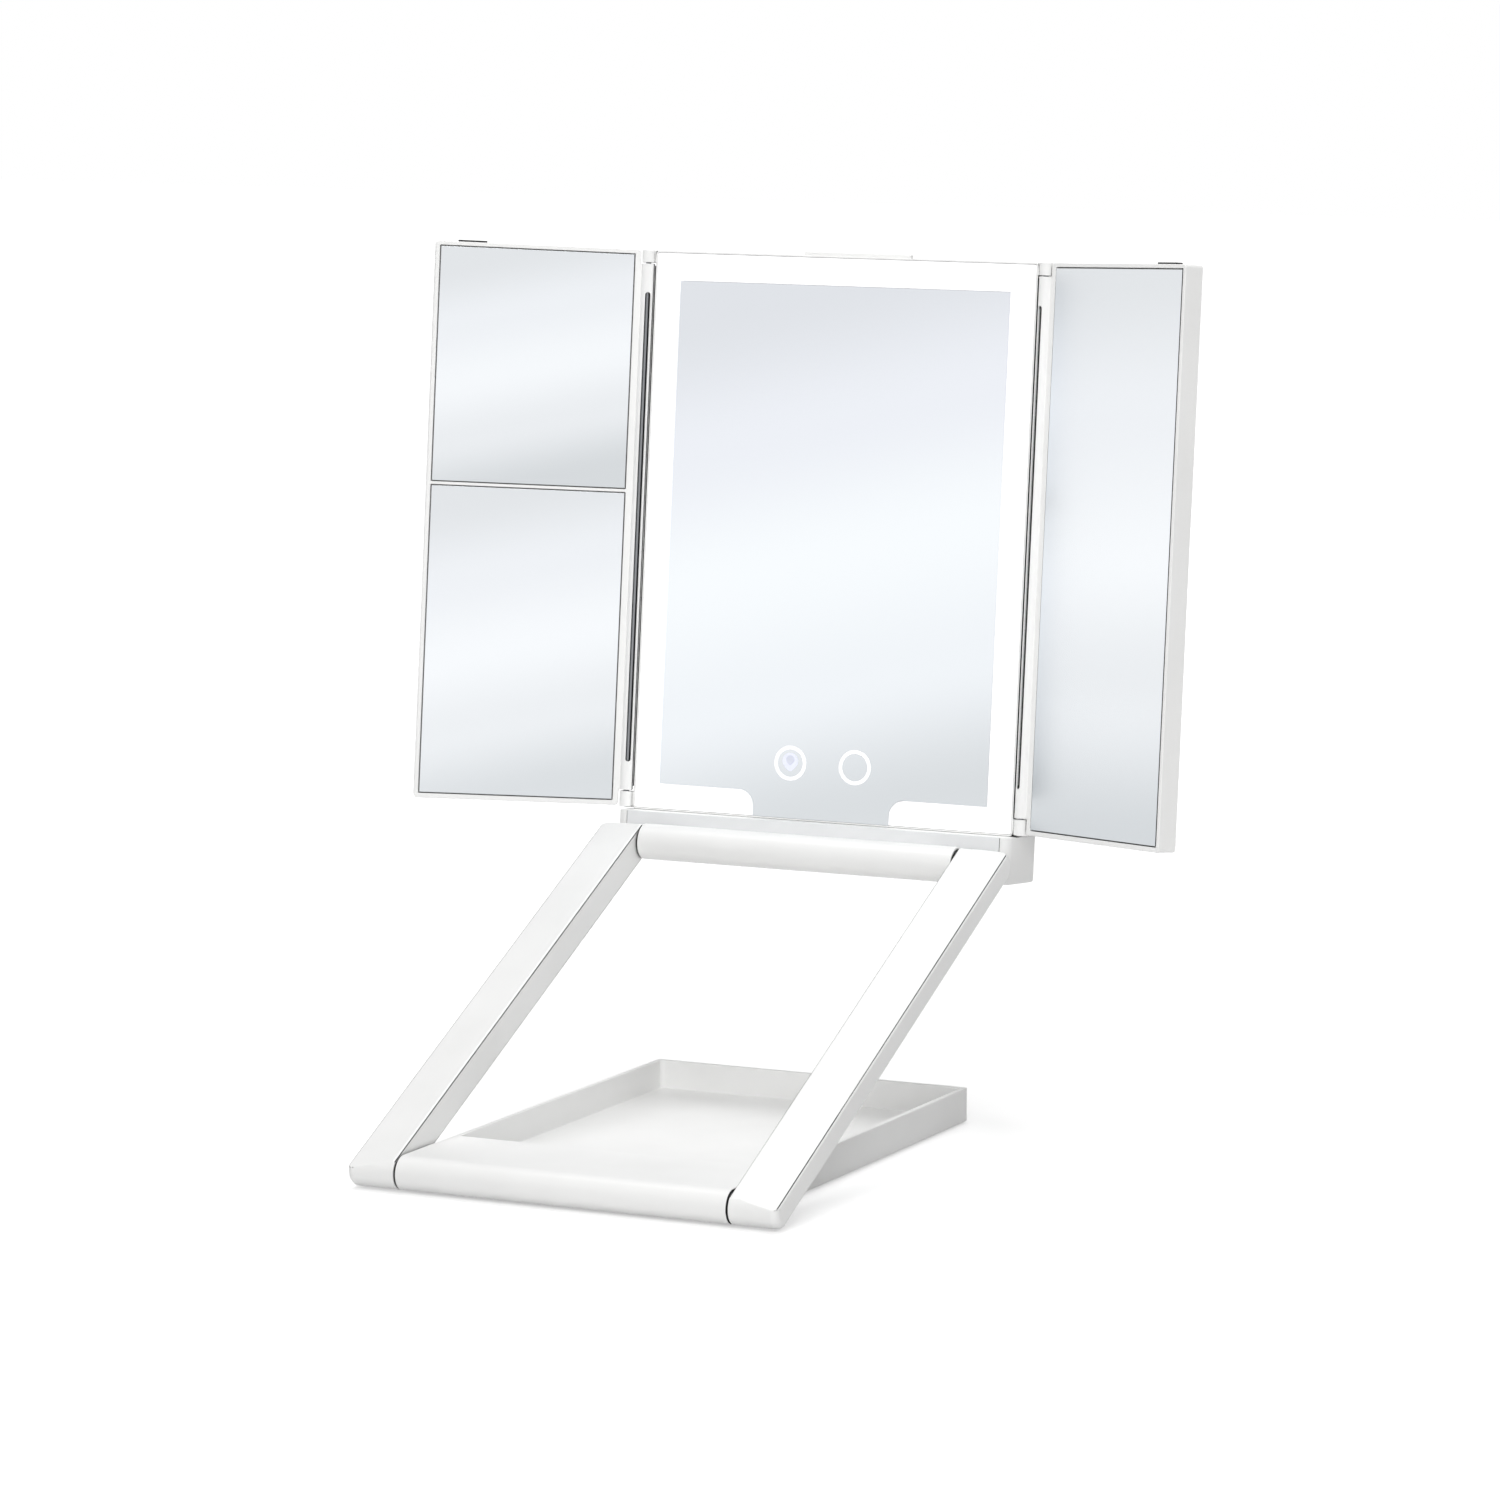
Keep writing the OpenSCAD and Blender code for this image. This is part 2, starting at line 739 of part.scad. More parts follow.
module charging_socket() {
    color(SILVER) upper_frame() difference() {
        backward(chin_back - socket_d, chin_back - seat) socket_outline(0);
        backward(chin_back - socket_d + 2 * socket_wall, chin_back) socket_outline(-socket_wall);
    }
}

// ---- Centre mirror ----

module frame_outline() {
    plate([-panel_half, chin_top], [panel_half, panel_top], panel_corner);
}

module knuckle(low, high) {
    translate([hinge_x, face_setback, low]) cylinder(r = barrel_r, h = high - low);
    block([panel_half - EPS, face_setback, low], [hinge_x, face_setback + barrel_r, high]);
}

// The mirror's outline: a rectangle less the light band's two tabs
module mirror_outline() {
    difference() {
        translate([-band_half, glass_low]) square([2 * band_half, band_top - glass_low]);
        both_sides() tab_outline(0);
    }
}

module tab_outline(extra) {
    x0 = tongue_w / 2 - extra;
    top = tab_top + extra;
    translate([x0 + tab_r, glass_low - 1]) square([band_half, top - glass_low + 1]);
    translate([x0, glass_low - 1]) square([band_half, top - tab_r - glass_low + 1]);
    translate([x0 + tab_r, top - tab_r]) circle(r = tab_r);
}

module rear_screw_places() {
    for (x = [-rear_boss_x, rear_boss_x], z = rear_boss_z)
        translate([x, back_of_panel - head_seat, z]) rotate([90, 0, 0]) children();
}

module centre_frame() {
    color(WHITE) upper_frame() difference() {
        union() {
            difference() {
                backward(face_setback, back_of_frame) frame_outline();
                backward(face_setback - EPS, lamp_front)
                    plate([-glass_half, glass_low], [glass_half, glass_top], panel_corner / 2);
                backward(lamp_front - EPS, mid_front) lamp_hollow();
                backward(mid_back, back_of_frame + EPS)
                    plate([-panel_half + frame_wall, chin_top + frame_wall],
                        [panel_half - frame_wall, panel_top - frame_wall], panel_corner / 2);
            }
            for (x = [-rear_boss_x, rear_boss_x], z = rear_boss_z)
                translate([x, 0, z]) rod_y(boss_r, mid_back - EPS, rear_in);
            for (x = chin_screw_x)
                block([x - boss_r, mid_back - EPS, chin_top + EPS],
                    [x + boss_r, back_of_frame, chin_top + chin_screw_len]);
            both_sides() {
                knuckle(knuckle_low, chin_top + bottom_knuckle - knuckle_gap / 2);
                knuckle(panel_top - top_knuckle + knuckle_gap / 2, panel_top);
            }
        }
        both_sides() translate([hinge_x, face_setback, 0])
            translate([0, 0, chin_top]) cylinder(r = rod_r + fix_fit, h = panel_h - rod_cap);
        rear_screw_places() cylinder(r = screw_r + fix_fit, h = rear_screw_len + thread_gap);
        chin_screw_places() cylinder(r = screw_r + fix_fit, h = chin_screw_len + thread_gap);
    }
}

// Hollow behind the light band and the mirror, with a rib under their joint
module lamp_hollow() {
    difference() {
        translate([-glass_half + ledge_in, glass_low + ledge_in])
            square([2 * (glass_half - ledge_in), glass_top - glass_low - 2 * ledge_in]);
        difference() {
            translate([-band_half - rib_t / 2, tab_top - rib_t / 2])
                square([2 * band_half + rib_t, band_top - tab_top + rib_t]);
            translate([-band_half + rib_t / 2, tab_top + rib_t / 2])
                square([2 * band_half - rib_t, band_top - tab_top - rib_t]);
        }
    }
}

module centre_mirror() {
    color(MIRROR) upper_frame() difference() {
        backward(face_setback, lamp_front) mirror_outline();
        translate([0, 0, ring_z]) for (x = [-ring_pitch / 2, ring_pitch / 2]) translate([x, 0, 0])
            difference() {
                rod_y(ring_d / 2 + fix_fit, face_setback - EPS, face_setback + ring_t);
                rod_y(ring_d / 2 - ring_line - fix_fit, face_setback - 1, face_setback + ring_t + 1);
            }
    }
}

module light_band() {
    color(LIGHT) upper_frame() backward(face_setback, lamp_front) difference() {
        plate([-glass_half + seat, glass_low + seat], [glass_half - seat, glass_top - seat],
            panel_corner / 2);
        difference() {
            translate([-band_half - seat, glass_low - 1])
                square([2 * (band_half + seat), band_top + seat - glass_low + 1]);
            both_sides() tab_outline(-seat);
        }
    }
}

module touch_rings() {
    color(LIGHT) upper_frame() translate([0, 0, ring_z]) for (x = [-ring_pitch / 2, ring_pitch / 2])
        translate([x, 0, 0]) difference() {
            rod_y(ring_d / 2, face_setback, face_setback + ring_t - fix_fit);
            rod_y(ring_d / 2 - ring_line, face_setback - 1, face_setback + ring_t + 1);
        }
}

module touch_springs() {
    color(SILVER) upper_frame() translate([0, 0, ring_z]) for (x = [-ring_pitch / 2, ring_pitch / 2])
        translate([x, 0, 0]) difference() {
            union() {
                rod_y(spring_d / 2, lamp_front + seat, lamp_front + 5 * seat);
                rod_y(spring_d / 3, lamp_front + 4 * seat, mid_front - seat);
            }
            rod_y(spring_d / 5, lamp_front, mid_front + 1);
        }
}

led_x = (band_half + rib_t / 2 + glass_half - ledge_in) / 2;
led_count = floor((band_top - tab_top) / led_pitch);
led_t = 1.2;
chip_t = 1.2;
led_board_t = 0.8;

module led_strips() {
    color(LIGHT) upper_frame() both_sides() {
        block([led_x - led_w / 2, mid_front - led_board_t, tab_top],
            [led_x + led_w / 2, mid_front, band_top]);
        for (k = [0:led_count - 1])
            block([led_x - led_w / 4, mid_front - led_board_t - led_t, tab_top + (k + 0.4) * led_pitch],
                [led_x + led_w / 4, mid_front - led_board_t + EPS, tab_top + (k + 0.65) * led_pitch]);
    }
}

module control_board() {
    color(BOARD) upper_frame() {
        block([-board_w / 2, mid_back + seat, ring_z - board_h / 2],
            [board_w / 2, mid_back + seat + board_t, ring_z + board_h / 2]);
        for (x = [-chip_pitch, 0, chip_pitch])
            block([x - chip_w / 2, mid_back + board_t, ring_z - chip_w / 2],
                [x + chip_w / 2, mid_back + board_t + chip_t, ring_z + chip_w / 2]);
    }
}

module battery_pack() {
    color(DARK) upper_frame()
        backward(rear_in - battery_t, rear_in)
            plate([-battery_w / 2, ring_z + board_h], [battery_w / 2, ring_z + board_h + battery_len],
                battery_corner);
}

module catch_magnets() {
    color(SILVER) upper_frame() for (x = [-1, 1] * (hinge_x - magnet_x), z = magnet_z)
        translate([x, 0, z]) rod_y(magnet_d / 2, lamp_front + seat, mid_front);
}

module rear_cover() {
    color(WHITE) upper_frame() difference() {
        union() {
            backward(back_of_frame, back_of_panel) frame_outline();
            block([-lip_w / 2, back_of_panel - lip_t, panel_top - lip_h],
                [lip_w / 2, back_of_panel, panel_top + lip_h]);
        }
        backward(back_of_frame - EPS, rear_in)
            plate([-panel_half + frame_wall, chin_top + frame_wall],
                [panel_half - frame_wall, panel_top - frame_wall], panel_corner / 2);
        rear_screw_places() screw_space(rear_wall);
    }
}

module rear_cover_screws() {
    color(SILVER) upper_frame() rear_screw_places() screw(rear_screw_len);
}

module hinge_rod() {
    low = knuckle_low + seat;
    translate([hinge_x, face_setback, low]) cylinder(r = rod_r, h = panel_top - rod_cap - seat - low);
}

module right_hinge_rod() {
    color(SILVER) upper_frame() hinge_rod();
}

module left_hinge_rod() {
    color(SILVER) upper_frame() mirror([1, 0, 0]) hinge_rod();
}

// ---- Wings ----

module wing_pocket(low, high) {
    backward(wing_front - EPS, pocket_back)
        translate([wing_inner, low]) square([wing_glass_out - wing_inner, high - low]);
}

module barrel_slot() {
    low = barrel_low + slot_end + slot_w / 2;
    high = barrel_top - slot_end - slot_w / 2;
    backward(-barrel_r - 1, 0) {
        translate([-slot_w / 2, low]) square([slot_w, high - low]);
        translate([0, low]) circle(r = slot_w / 2);
        translate([0, high]) circle(r = slot_w / 2);
    }
}

module cover_outline(gap) {
    plate([wing_clear + cover_rim + gap, wing_low + cover_rim + gap],
        [wing_w - cover_rim - gap, panel_top - cover_rim - gap], cover_corner);
}

// Body of a wing without its mirror pockets
module wing_body() {
    difference() {
        union() {
            backward(wing_front, wing_back)
                plate([wing_clear, wing_low], [wing_w, panel_top], panel_corner);
            block([0, wing_front, barrel_low], [wing_clear + 2 * panel_corner, wing_back, barrel_top]);
            translate([0, 0, barrel_low]) cylinder(r = barrel_r, h = barrel_top - barrel_low);
        }
        translate([0, 0, wing_low]) cylinder(r = rod_r + run_fit, h = panel_h);
        barrel_slot();
        backward(hollow_back, wing_back + EPS) cover_outline(0);
        backward(hollow_front, wing_back) cover_outline(cover_rim / 2);
        translate([wing_w - notch_at, 0, panel_top])
            block([-notch_len / 2, wing_front + notch_wall, -notch_deep],
                [notch_len / 2, wing_back - notch_wall, 1]);
    }
}

module tape_strips(low, high) {
    for (z = [low + 0.1 * (high - low), low + 0.8 * (high - low)])
        block([wing_inner + tape_in, pocket_back - tape_t, z],
            [wing_glass_out - tape_in, pocket_back, z + 0.1 * (high - low)]);
}

module wing_mirror(low, high) {
    backward(wing_front, wing_front + wing_glass_t)
        translate([wing_inner + mirror_gap, low + mirror_gap])
            square([wing_glass_out - wing_inner - 2 * mirror_gap, high - low - 2 * mirror_gap]);
}

module wing_cover() {
    backward(hollow_back, wing_back) cover_outline(seat);
}

module wing_magnets() {
    for (z = magnet_z) translate([magnet_x, 0, z]) rod_y(magnet_d / 2, hollow_front, hollow_front + magnet_t);
}

module right_wing_frame() {
    color(WHITE) wing_frame(1) difference() {
        wing_body();
        wing_pocket(wing_glass_low, wing_glass_top);
    }
}

module right_mirror() {
    color(MIRROR) wing_frame(1) wing_mirror(wing_glass_low, wing_glass_top);
}

module right_mirror_tape() {
    color(DARK) wing_frame(1) tape_strips(wing_glass_low, wing_glass_top);
}

module right_wing_cover() {
    color(WHITE) wing_frame(1) wing_cover();
}

module right_wing_magnets() {
    color(SILVER) wing_frame(1) wing_magnets();
}

module left_wing_frame() {
    color(WHITE) wing_frame(-1) difference() {
        wing_body();
        wing_pocket(wing_glass_low, wing_glass_low + lower_mirror_h);
        wing_pocket(upper_mirror_low, wing_glass_top);
    }
}

module left_upper_mirror() {
    color(MIRROR) wing_frame(-1) wing_mirror(upper_mirror_low, wing_glass_top);
}

module left_lower_mirror() {
    color(MIRROR) wing_frame(-1) wing_mirror(wing_glass_low, wing_glass_low + lower_mirror_h);
}

module left_mirror_tape() {
    color(DARK) wing_frame(-1) {
        tape_strips(wing_glass_low, wing_glass_low + lower_mirror_h);
        tape_strips(upper_mirror_low, wing_glass_top);
    }
}

module left_wing_cover() {
    color(WHITE) wing_frame(-1) wing_cover();
}

module left_wing_magnets() {
    color(SILVER) wing_frame(-1) wing_magnets();
}

tray_shell();
base_cover();
ballast_block();
front_foot();
rear_foot();
base_screws();
lower_hinge_shafts();
lower_friction_washers();
left_arm();
right_arm();
left_arm_cover();
right_arm_cover();
arm_cover_screws();
crossbar();
crossbar_screws();
upper_hinge_shafts();
upper_friction_washers();
chin_housing();
chin_front_strip();
chin_screws();
charging_board();
charging_socket();
centre_frame();
rear_cover();
rear_cover_screws();
centre_mirror();
light_band();
touch_rings();
touch_springs();
led_strips();
control_board();
battery_pack();
catch_magnets();
left_hinge_rod();
right_hinge_rod();
left_wing_frame();
left_upper_mirror();
left_lower_mirror();
left_mirror_tape();
left_wing_cover();
left_wing_magnets();
right_wing_frame();
right_mirror();
right_mirror_tape();
right_wing_cover();
right_wing_magnets();
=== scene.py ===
# %% [markdown]
# # A trifold vanity mirror in white plastic
# A lit mirror with two hinged wings stands on a folding arm frame, which rises from a shallow tray.
# The construction is already solid and to size, so this lesson only gives it its looks: rounded
# mould edges, silvered glass, a glowing light band and small printed signs.
# Everything is in metres, and each piece stays where the loaded frame has it.

# %% Load the construction
import json
import math

import bmesh
import bpy
from mathutils import Matrix, Vector


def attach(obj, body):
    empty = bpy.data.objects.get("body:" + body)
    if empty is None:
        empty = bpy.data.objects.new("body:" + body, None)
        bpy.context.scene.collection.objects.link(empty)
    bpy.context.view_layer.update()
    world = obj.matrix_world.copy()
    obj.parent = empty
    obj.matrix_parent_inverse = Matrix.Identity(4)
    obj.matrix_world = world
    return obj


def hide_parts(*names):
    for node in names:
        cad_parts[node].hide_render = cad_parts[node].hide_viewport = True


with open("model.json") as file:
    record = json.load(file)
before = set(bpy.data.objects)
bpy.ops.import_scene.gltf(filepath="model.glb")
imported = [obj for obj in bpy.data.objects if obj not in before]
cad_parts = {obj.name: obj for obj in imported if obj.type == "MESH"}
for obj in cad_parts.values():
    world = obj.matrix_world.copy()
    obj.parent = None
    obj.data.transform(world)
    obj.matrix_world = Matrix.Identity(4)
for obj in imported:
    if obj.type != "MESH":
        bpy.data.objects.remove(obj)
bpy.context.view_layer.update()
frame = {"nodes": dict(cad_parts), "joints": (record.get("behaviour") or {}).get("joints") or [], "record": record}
nodes = frame["nodes"]
joints = {joint["name"]: joint for joint in frame["joints"]}
bodies = frame["record"]["behaviour"]["bodies"]
SIDES = {-1: "left", 1: "right"}
MM = 0.001

# %% [markdown]
# The mirror leans back a little and each wing swings forward. Small things that lie on them are
# drawn flat first, in x across and y up, and are then placed by a matrix. The directions come from
# the hinge axes of the frame, so the signs and liners follow the construction.

# %% Directions of the mirror, the wings and the arms
PANEL_UP = Vector(joints["left_wing_fold"]["axis"]).normalized()
PANEL_RIGHT = Vector((1.0, 0.0, 0.0))
PANEL_FORWARD = PANEL_RIGHT.cross(PANEL_UP)
CROSSBAR = Vector(joints["mirror_tilt"]["pos_m"])
FRONT_BAR = Vector(joints["arm_fold"]["pos_m"])
ARM_DOWN = (CROSSBAR - FRONT_BAR).cross(PANEL_RIGHT).normalized()
WING_SWING = math.radians(-joints["right_wing_fold"]["range_deg"][0])


def axes_matrix(across, up, forward, origin):
    """Puts a shape drawn in x (across) and y (up) at an origin; its +z points forward."""
    return Matrix.Translation(origin) @ Matrix((across, up, forward)).transposed().to_4x4()


def panel_matrix(across, up, forward):
    """A place on the mirror, counted from the crossbar's axis."""
    origin = CROSSBAR + PANEL_RIGHT * across + PANEL_UP * up + PANEL_FORWARD * forward
    return axes_matrix(PANEL_RIGHT, PANEL_UP, PANEL_FORWARD, origin)


def wing_matrix(side, out, up, forward):
    """A place on a wing (side 1 is right), counted from its hinge axis."""
    hinge = Vector(joints[SIDES[side] + "_wing_fold"]["pos_m"])
    outward = PANEL_RIGHT * side * math.cos(WING_SWING) + PANEL_FORWARD * math.sin(WING_SWING)
    facing = PANEL_FORWARD * math.cos(WING_SWING) - PANEL_RIGHT * side * math.sin(WING_SWING)
    origin = hinge + outward * out + PANEL_UP * up + facing * forward
    return axes_matrix(outward, PANEL_UP, facing, origin)


def span(node, matrix, axis):
    """The lowest and highest place of a node along one axis of a matrix."""
    turn = matrix.inverted()
    places = [(turn @ vertex.co)[axis] for vertex in nodes[node].data.vertices]
    return min(places), max(places)


PANEL = panel_matrix(0.0, 0.0, 0.0)
face_forward = span("centre_mirror", PANEL, 2)[1]
print("the mirror's face lies", round(-face_forward / MM, 2), "mm behind the crossbar's axis")

# %% [markdown]
# ## Camera
# A long lens from the right and slightly above gives the flat, catalogue-like view of the object.
# The aim point and the distance are real places around the object, so the framing follows them.

# %% Camera
AZIMUTH, ELEVATION, ROLL = math.radians(25.0), math.radians(7.73), math.radians(0.39)
AIM = Vector((79.3, -12.0, 188.9)) * MM
DISTANCE = 2368 * MM
SENSOR = 36.0
IMAGE_SIDE = 1500
FOCAL_PIXELS = 6112

back = Vector((math.sin(AZIMUTH) * math.cos(ELEVATION), -math.cos(AZIMUTH) * math.cos(ELEVATION),
               math.sin(ELEVATION)))
level = Vector((math.cos(AZIMUTH), math.sin(AZIMUTH), 0.0))
upward = back.cross(level)
right = level * math.cos(ROLL) + upward * math.sin(ROLL)
upward = upward * math.cos(ROLL) - level * math.sin(ROLL)

lens_data = bpy.data.cameras.new("camera")
lens_data.sensor_width = SENSOR
lens_data.lens = SENSOR * FOCAL_PIXELS / IMAGE_SIDE
camera = bpy.data.objects.new("camera", lens_data)
camera.matrix_world = axes_matrix(right, upward, back, AIM + back * DISTANCE)
bpy.context.scene.collection.objects.link(camera)
bpy.context.scene.camera = camera
print("lens", round(lens_data.lens, 1), "mm at", [round(c, 3) for c in camera.location], "m")

# %% [markdown]
# ## Node materials
# One helper adds a node, sets its fields and fills its inputs. An input takes a plain value or
# another node's output. Colours are written as the hex values that one would pick on a screen, and
# one function turns them into the linear values that the renderer works with.


# %% Material helpers
def linear(hex_colour):
    """The linear RGBA of an sRGB hex colour."""
    parts = [int(hex_colour[i:i + 2], 16) / 255 for i in (0, 2, 4)]
    return [p / 12.92 if p <= 0.04045 else ((p + 0.055) / 1.055) ** 2.4 for p in parts] + [1.0]


def add_node(tree, kind, inputs=None, **fields):
    """Adds a shader node, sets its fields, and fills its inputs with values or links."""
    made = tree.nodes.new(kind)
    for name, value in fields.items():
        setattr(made, name, value)
    for name, value in (inputs or {}).items():
        if isinstance(value, bpy.types.NodeSocket):
            tree.links.new(value, made.inputs[name])
        else:
            made.inputs[name].default_value = value
    return made


def new_material(name):
    """An empty node material, and its tree and output node."""
    material = bpy.data.materials.new(name)
    material.use_nodes = True
    tree = material.node_tree
    tree.nodes.clear()
    return material, tree, tree.nodes.new("ShaderNodeOutputMaterial")


def noise(tree, place, grain, detail):
    """Noise whose grain has a real size in metres."""
    made = add_node(tree, "ShaderNodeTexNoise", {"Vector": place, "Scale": 1 / grain, "Detail": detail})
    return made.outputs["Fac"]


def finish_material(made, inputs):
    """Ends a new material with a Principled surface that has these inputs."""
    material, tree, output = made
    surface = add_node(tree, "ShaderNodeBsdfPrincipled", inputs)
    tree.links.new(surface.outputs["BSDF"], output.inputs["Surface"])
    return material


def set_stops(ramp, stops):
    """Gives a colour ramp its stops: (position, hex colour)."""
    elements = ramp.color_ramp.elements
    while len(elements) < len(stops):
        elements.new(1.0)
    for element, (position, colour) in zip(elements, stops):
        element.position = position
        element.color = linear(colour)


# %% [markdown]
# ## White ABS
# The stand and the frames are injection-moulded ABS. Out of a polished mould it has a soft gloss:
# a wide highlight with a faint unevenness where the melt flowed and cooled. The noise is very
# slight, so that the flat faces stay calm, and the grain shows only where light grazes it.
# White plastic bounces so much light that a thin gap between two parts would render pale, while on the real thing
# such a seam reads as a dark line of shade. So that shade is painted: the colour falls to black where the surface
# is closely shut in, which the ambient occlusion node finds from the shapes alone. The gap between a round barrel
# and the panel widens towards the front, so there the painted shade starts earlier. The slim joints round the
# glass get lighter painted shade, because the bright glass edge shines into them.

# %% ABS
MOULD_GRAIN = 0.35 * MM
FLOW_MARKS = 45 * MM
SEAM_SHADE_REACH = 1.6 * MM
SEAM_SAMPLES = 8
SHUT_IN, OPEN_AIR, SEAM_SHADE_DARKEST = 0.22, 0.5, 0.03
DRIFT_DARK, DRIFT_LIGHT = 0.35, 0.65
GLOSS_DRIFT = 0.03
MOULD_BUMP, MOULD_HEIGHT = 0.04, 0.05 * MM
ABS_IOR = 1.53


def with_painted_shade(tree, colour, reach, limits):
    """A colour with painted shade: it falls towards black where the surface is shut in, between two limits of
    openness.
    """
    shut_in, open_air, dark = limits
    room = add_node(tree, "ShaderNodeAmbientOcclusion", {"Distance": reach}, samples=SEAM_SAMPLES)
    seam = add_node(tree, "ShaderNodeMapRange",
                    {"Value": room.outputs["AO"], "From Min": shut_in, "From Max": open_air,
                     "To Min": dark, "To Max": 1.0})
    return add_node(tree, "ShaderNodeVectorMath", {0: colour, 1: seam.outputs["Result"]},
                    operation="MULTIPLY").outputs["Vector"]


def moulded_abs(name, light_hex, dark_hex, roughness, limits=None):
    """Moulded ABS: two close shades that drift over the part, painted shade in the seams, uneven gloss, fine
    grain.
    """
    made = new_material(name)
    tree = made[1]
    place = add_node(tree, "ShaderNodeTexCoord").outputs["Object"]
    drift = noise(tree, place, FLOW_MARKS, 3.0)
    shade = add_node(tree, "ShaderNodeValToRGB", {"Fac": drift})
    set_stops(shade, [(DRIFT_DARK, dark_hex), (DRIFT_LIGHT, light_hex)])
    # painted shade: the colour falls to black in closely shut-in seams and gaps
    seam_shade_limits = limits(tree, place) if limits else (SHUT_IN, OPEN_AIR, SEAM_SHADE_DARKEST)
    colour = with_painted_shade(tree, shade.outputs["Color"], SEAM_SHADE_REACH, seam_shade_limits)
    gloss = add_node(tree, "ShaderNodeMapRange", {"Value": drift, "To Min": roughness - GLOSS_DRIFT,
                                                   "To Max": roughness + GLOSS_DRIFT})
    bump = add_node(tree, "ShaderNodeBump", {"Height": noise(tree, place, MOULD_GRAIN, 2.0),
                                             "Strength": MOULD_BUMP, "Distance": MOULD_HEIGHT})
    return finish_material(made, {"Base Color": colour, "Roughness": gloss.outputs["Result"],
                                  "Normal": bump.outputs["Normal"], "IOR": ABS_IOR})


# %% Painted seam shade beside the hinges
HINGE_ACROSS = abs(joints["right_wing_fold"]["pos_m"][0])
GAP_ZONE = (4.05 * MM, 0.5 * MM)
GLASS_JOINT_SHADE = 0.25
GAP_SHUT_IN, GAP_OPEN_AIR = 0.62, 0.86


def painted_hinge_shade(tree, place):
    """The limits of the painted seam shade on the frames: strong in the gaps beside the hinges, soft elsewhere."""
    parts = add_node(tree, "ShaderNodeSeparateXYZ", {0: place})
    across = add_node(tree, "ShaderNodeMath", {0: parts.outputs["X"]}, operation="ABSOLUTE")
    in_gap = add_node(tree, "ShaderNodeMath",
                      {0: across.outputs["Value"], 1: HINGE_ACROSS - sum(GAP_ZONE) / 2,
                       2: (GAP_ZONE[0] - GAP_ZONE[1]) / 2}, operation="COMPARE")
    ends = ((SHUT_IN, GAP_SHUT_IN), (OPEN_AIR, GAP_OPEN_AIR), (GLASS_JOINT_SHADE, SEAM_SHADE_DARKEST))
    mixes = [add_node(tree, "ShaderNodeMath", {0: in_gap.outputs["Value"], 1: near - far, 2: far},
                      operation="MULTIPLY_ADD") for far, near in ends]
    return [mix.outputs["Value"] for mix in mixes]


white_abs = moulded_abs("white_moulded_abs", "F4F4F3", "F0F0EF", 0.34)
# the frames get stronger painted shade in the gaps beside the hinge barrels
frame_abs = moulded_abs("white_moulded_abs_frame", "FBFBFA", "F8F8F7", 0.34, painted_hinge_shade)
strip_abs = moulded_abs("light_grey_moulded_abs", "EEEFF0", "EAEBEC", 0.4)
print("hinge axes at", round(HINGE_ACROSS / MM, 2), "mm from the middle")

# %% [markdown]
# ## Silvered glass
# A mirror is clear float glass with a silver coat behind it. Here one polished metal surface
# stands for both. In a white room a mirror shows the room's soft shading, which the base colour
# carries: cool grey at the top, white round the middle and grey again at the foot, on a slant.

# %% Mirror
CENTRE_SHADES = [(0.0, "D8DCDF"), (0.25, "F1F5F9"), (0.5, "F8FCFF"), (0.75, "EEF1F7"), (1.0, "E1E4E9")]
RIGHT_SHADES = [(0.0, "C1C5C8"), (0.25, "E0E3E6"), (0.5, "F6F9FC"), (0.75, "EFF2F6"), (1.0, "E3E6E9")]
LEFT_SHADES = [(0.0, "D6DADD"), (0.25, "EBEEF1"), (0.5, "F6F9FC"), (0.75, "EFF2F6"), (1.0, "E3E6E9")]
GLASS_POLISH = 0.12


def mirror_glass(node, stops, slant):
    """Silvered glass for one mirror, shaded by stops from its foot to its top on a slant."""
    made = new_material("silvered_glass_" + node)
    tree = made[1]
    place = add_node(tree, "ShaderNodeTexCoord").outputs["Object"]
    along = PANEL_UP - PANEL_RIGHT * slant
    low, high = (CROSSBAR.dot(PANEL_UP) + up for up in span(node, PANEL, 1))
    tilt = slant * sum(span(node, PANEL, 0)) / 2
    height = add_node(tree, "ShaderNodeVectorMath", {0: place, 1: along}, operation="DOT_PRODUCT")
    share = add_node(tree, "ShaderNodeMapRange",
                     {"Value": height.outputs["Value"], "From Min": low - tilt, "From Max": high - tilt})
    shade = add_node(tree, "ShaderNodeValToRGB", {"Fac": share.outputs["Result"]})
    shade.color_ramp.interpolation = "EASE"
    set_stops(shade, stops)
    return finish_material(made, {"Base Color": shade.outputs["Color"], "Metallic": 1.0,
                                  "Roughness": GLASS_POLISH})


mirror_materials = {
    "centre_mirror": mirror_glass("centre_mirror", CENTRE_SHADES, 0.25),
    "left_upper_mirror": mirror_glass("left_upper_mirror", LEFT_SHADES, 0.28),
    "left_lower_mirror": mirror_glass("left_lower_mirror", LEFT_SHADES, 0.28),
    "right_mirror": mirror_glass("right_mirror", RIGHT_SHADES, 0.06),
}
print("mirror materials:", len(mirror_materials))

# %% [markdown]
# ## Light band and touch signs
# The band round the mirror is frosted acrylic with LEDs behind it, and the rings are frosted
# print in the silver. Both are lit, so they are white with a little light of their own.

# %% Lit acrylic
FROST_GRAIN = 0.4 * MM
FROST_BUMP, FROST_HEIGHT = 0.03, 0.02 * MM
ACRYLIC_ROUGHNESS, ACRYLIC_IOR = 0.45, 1.49


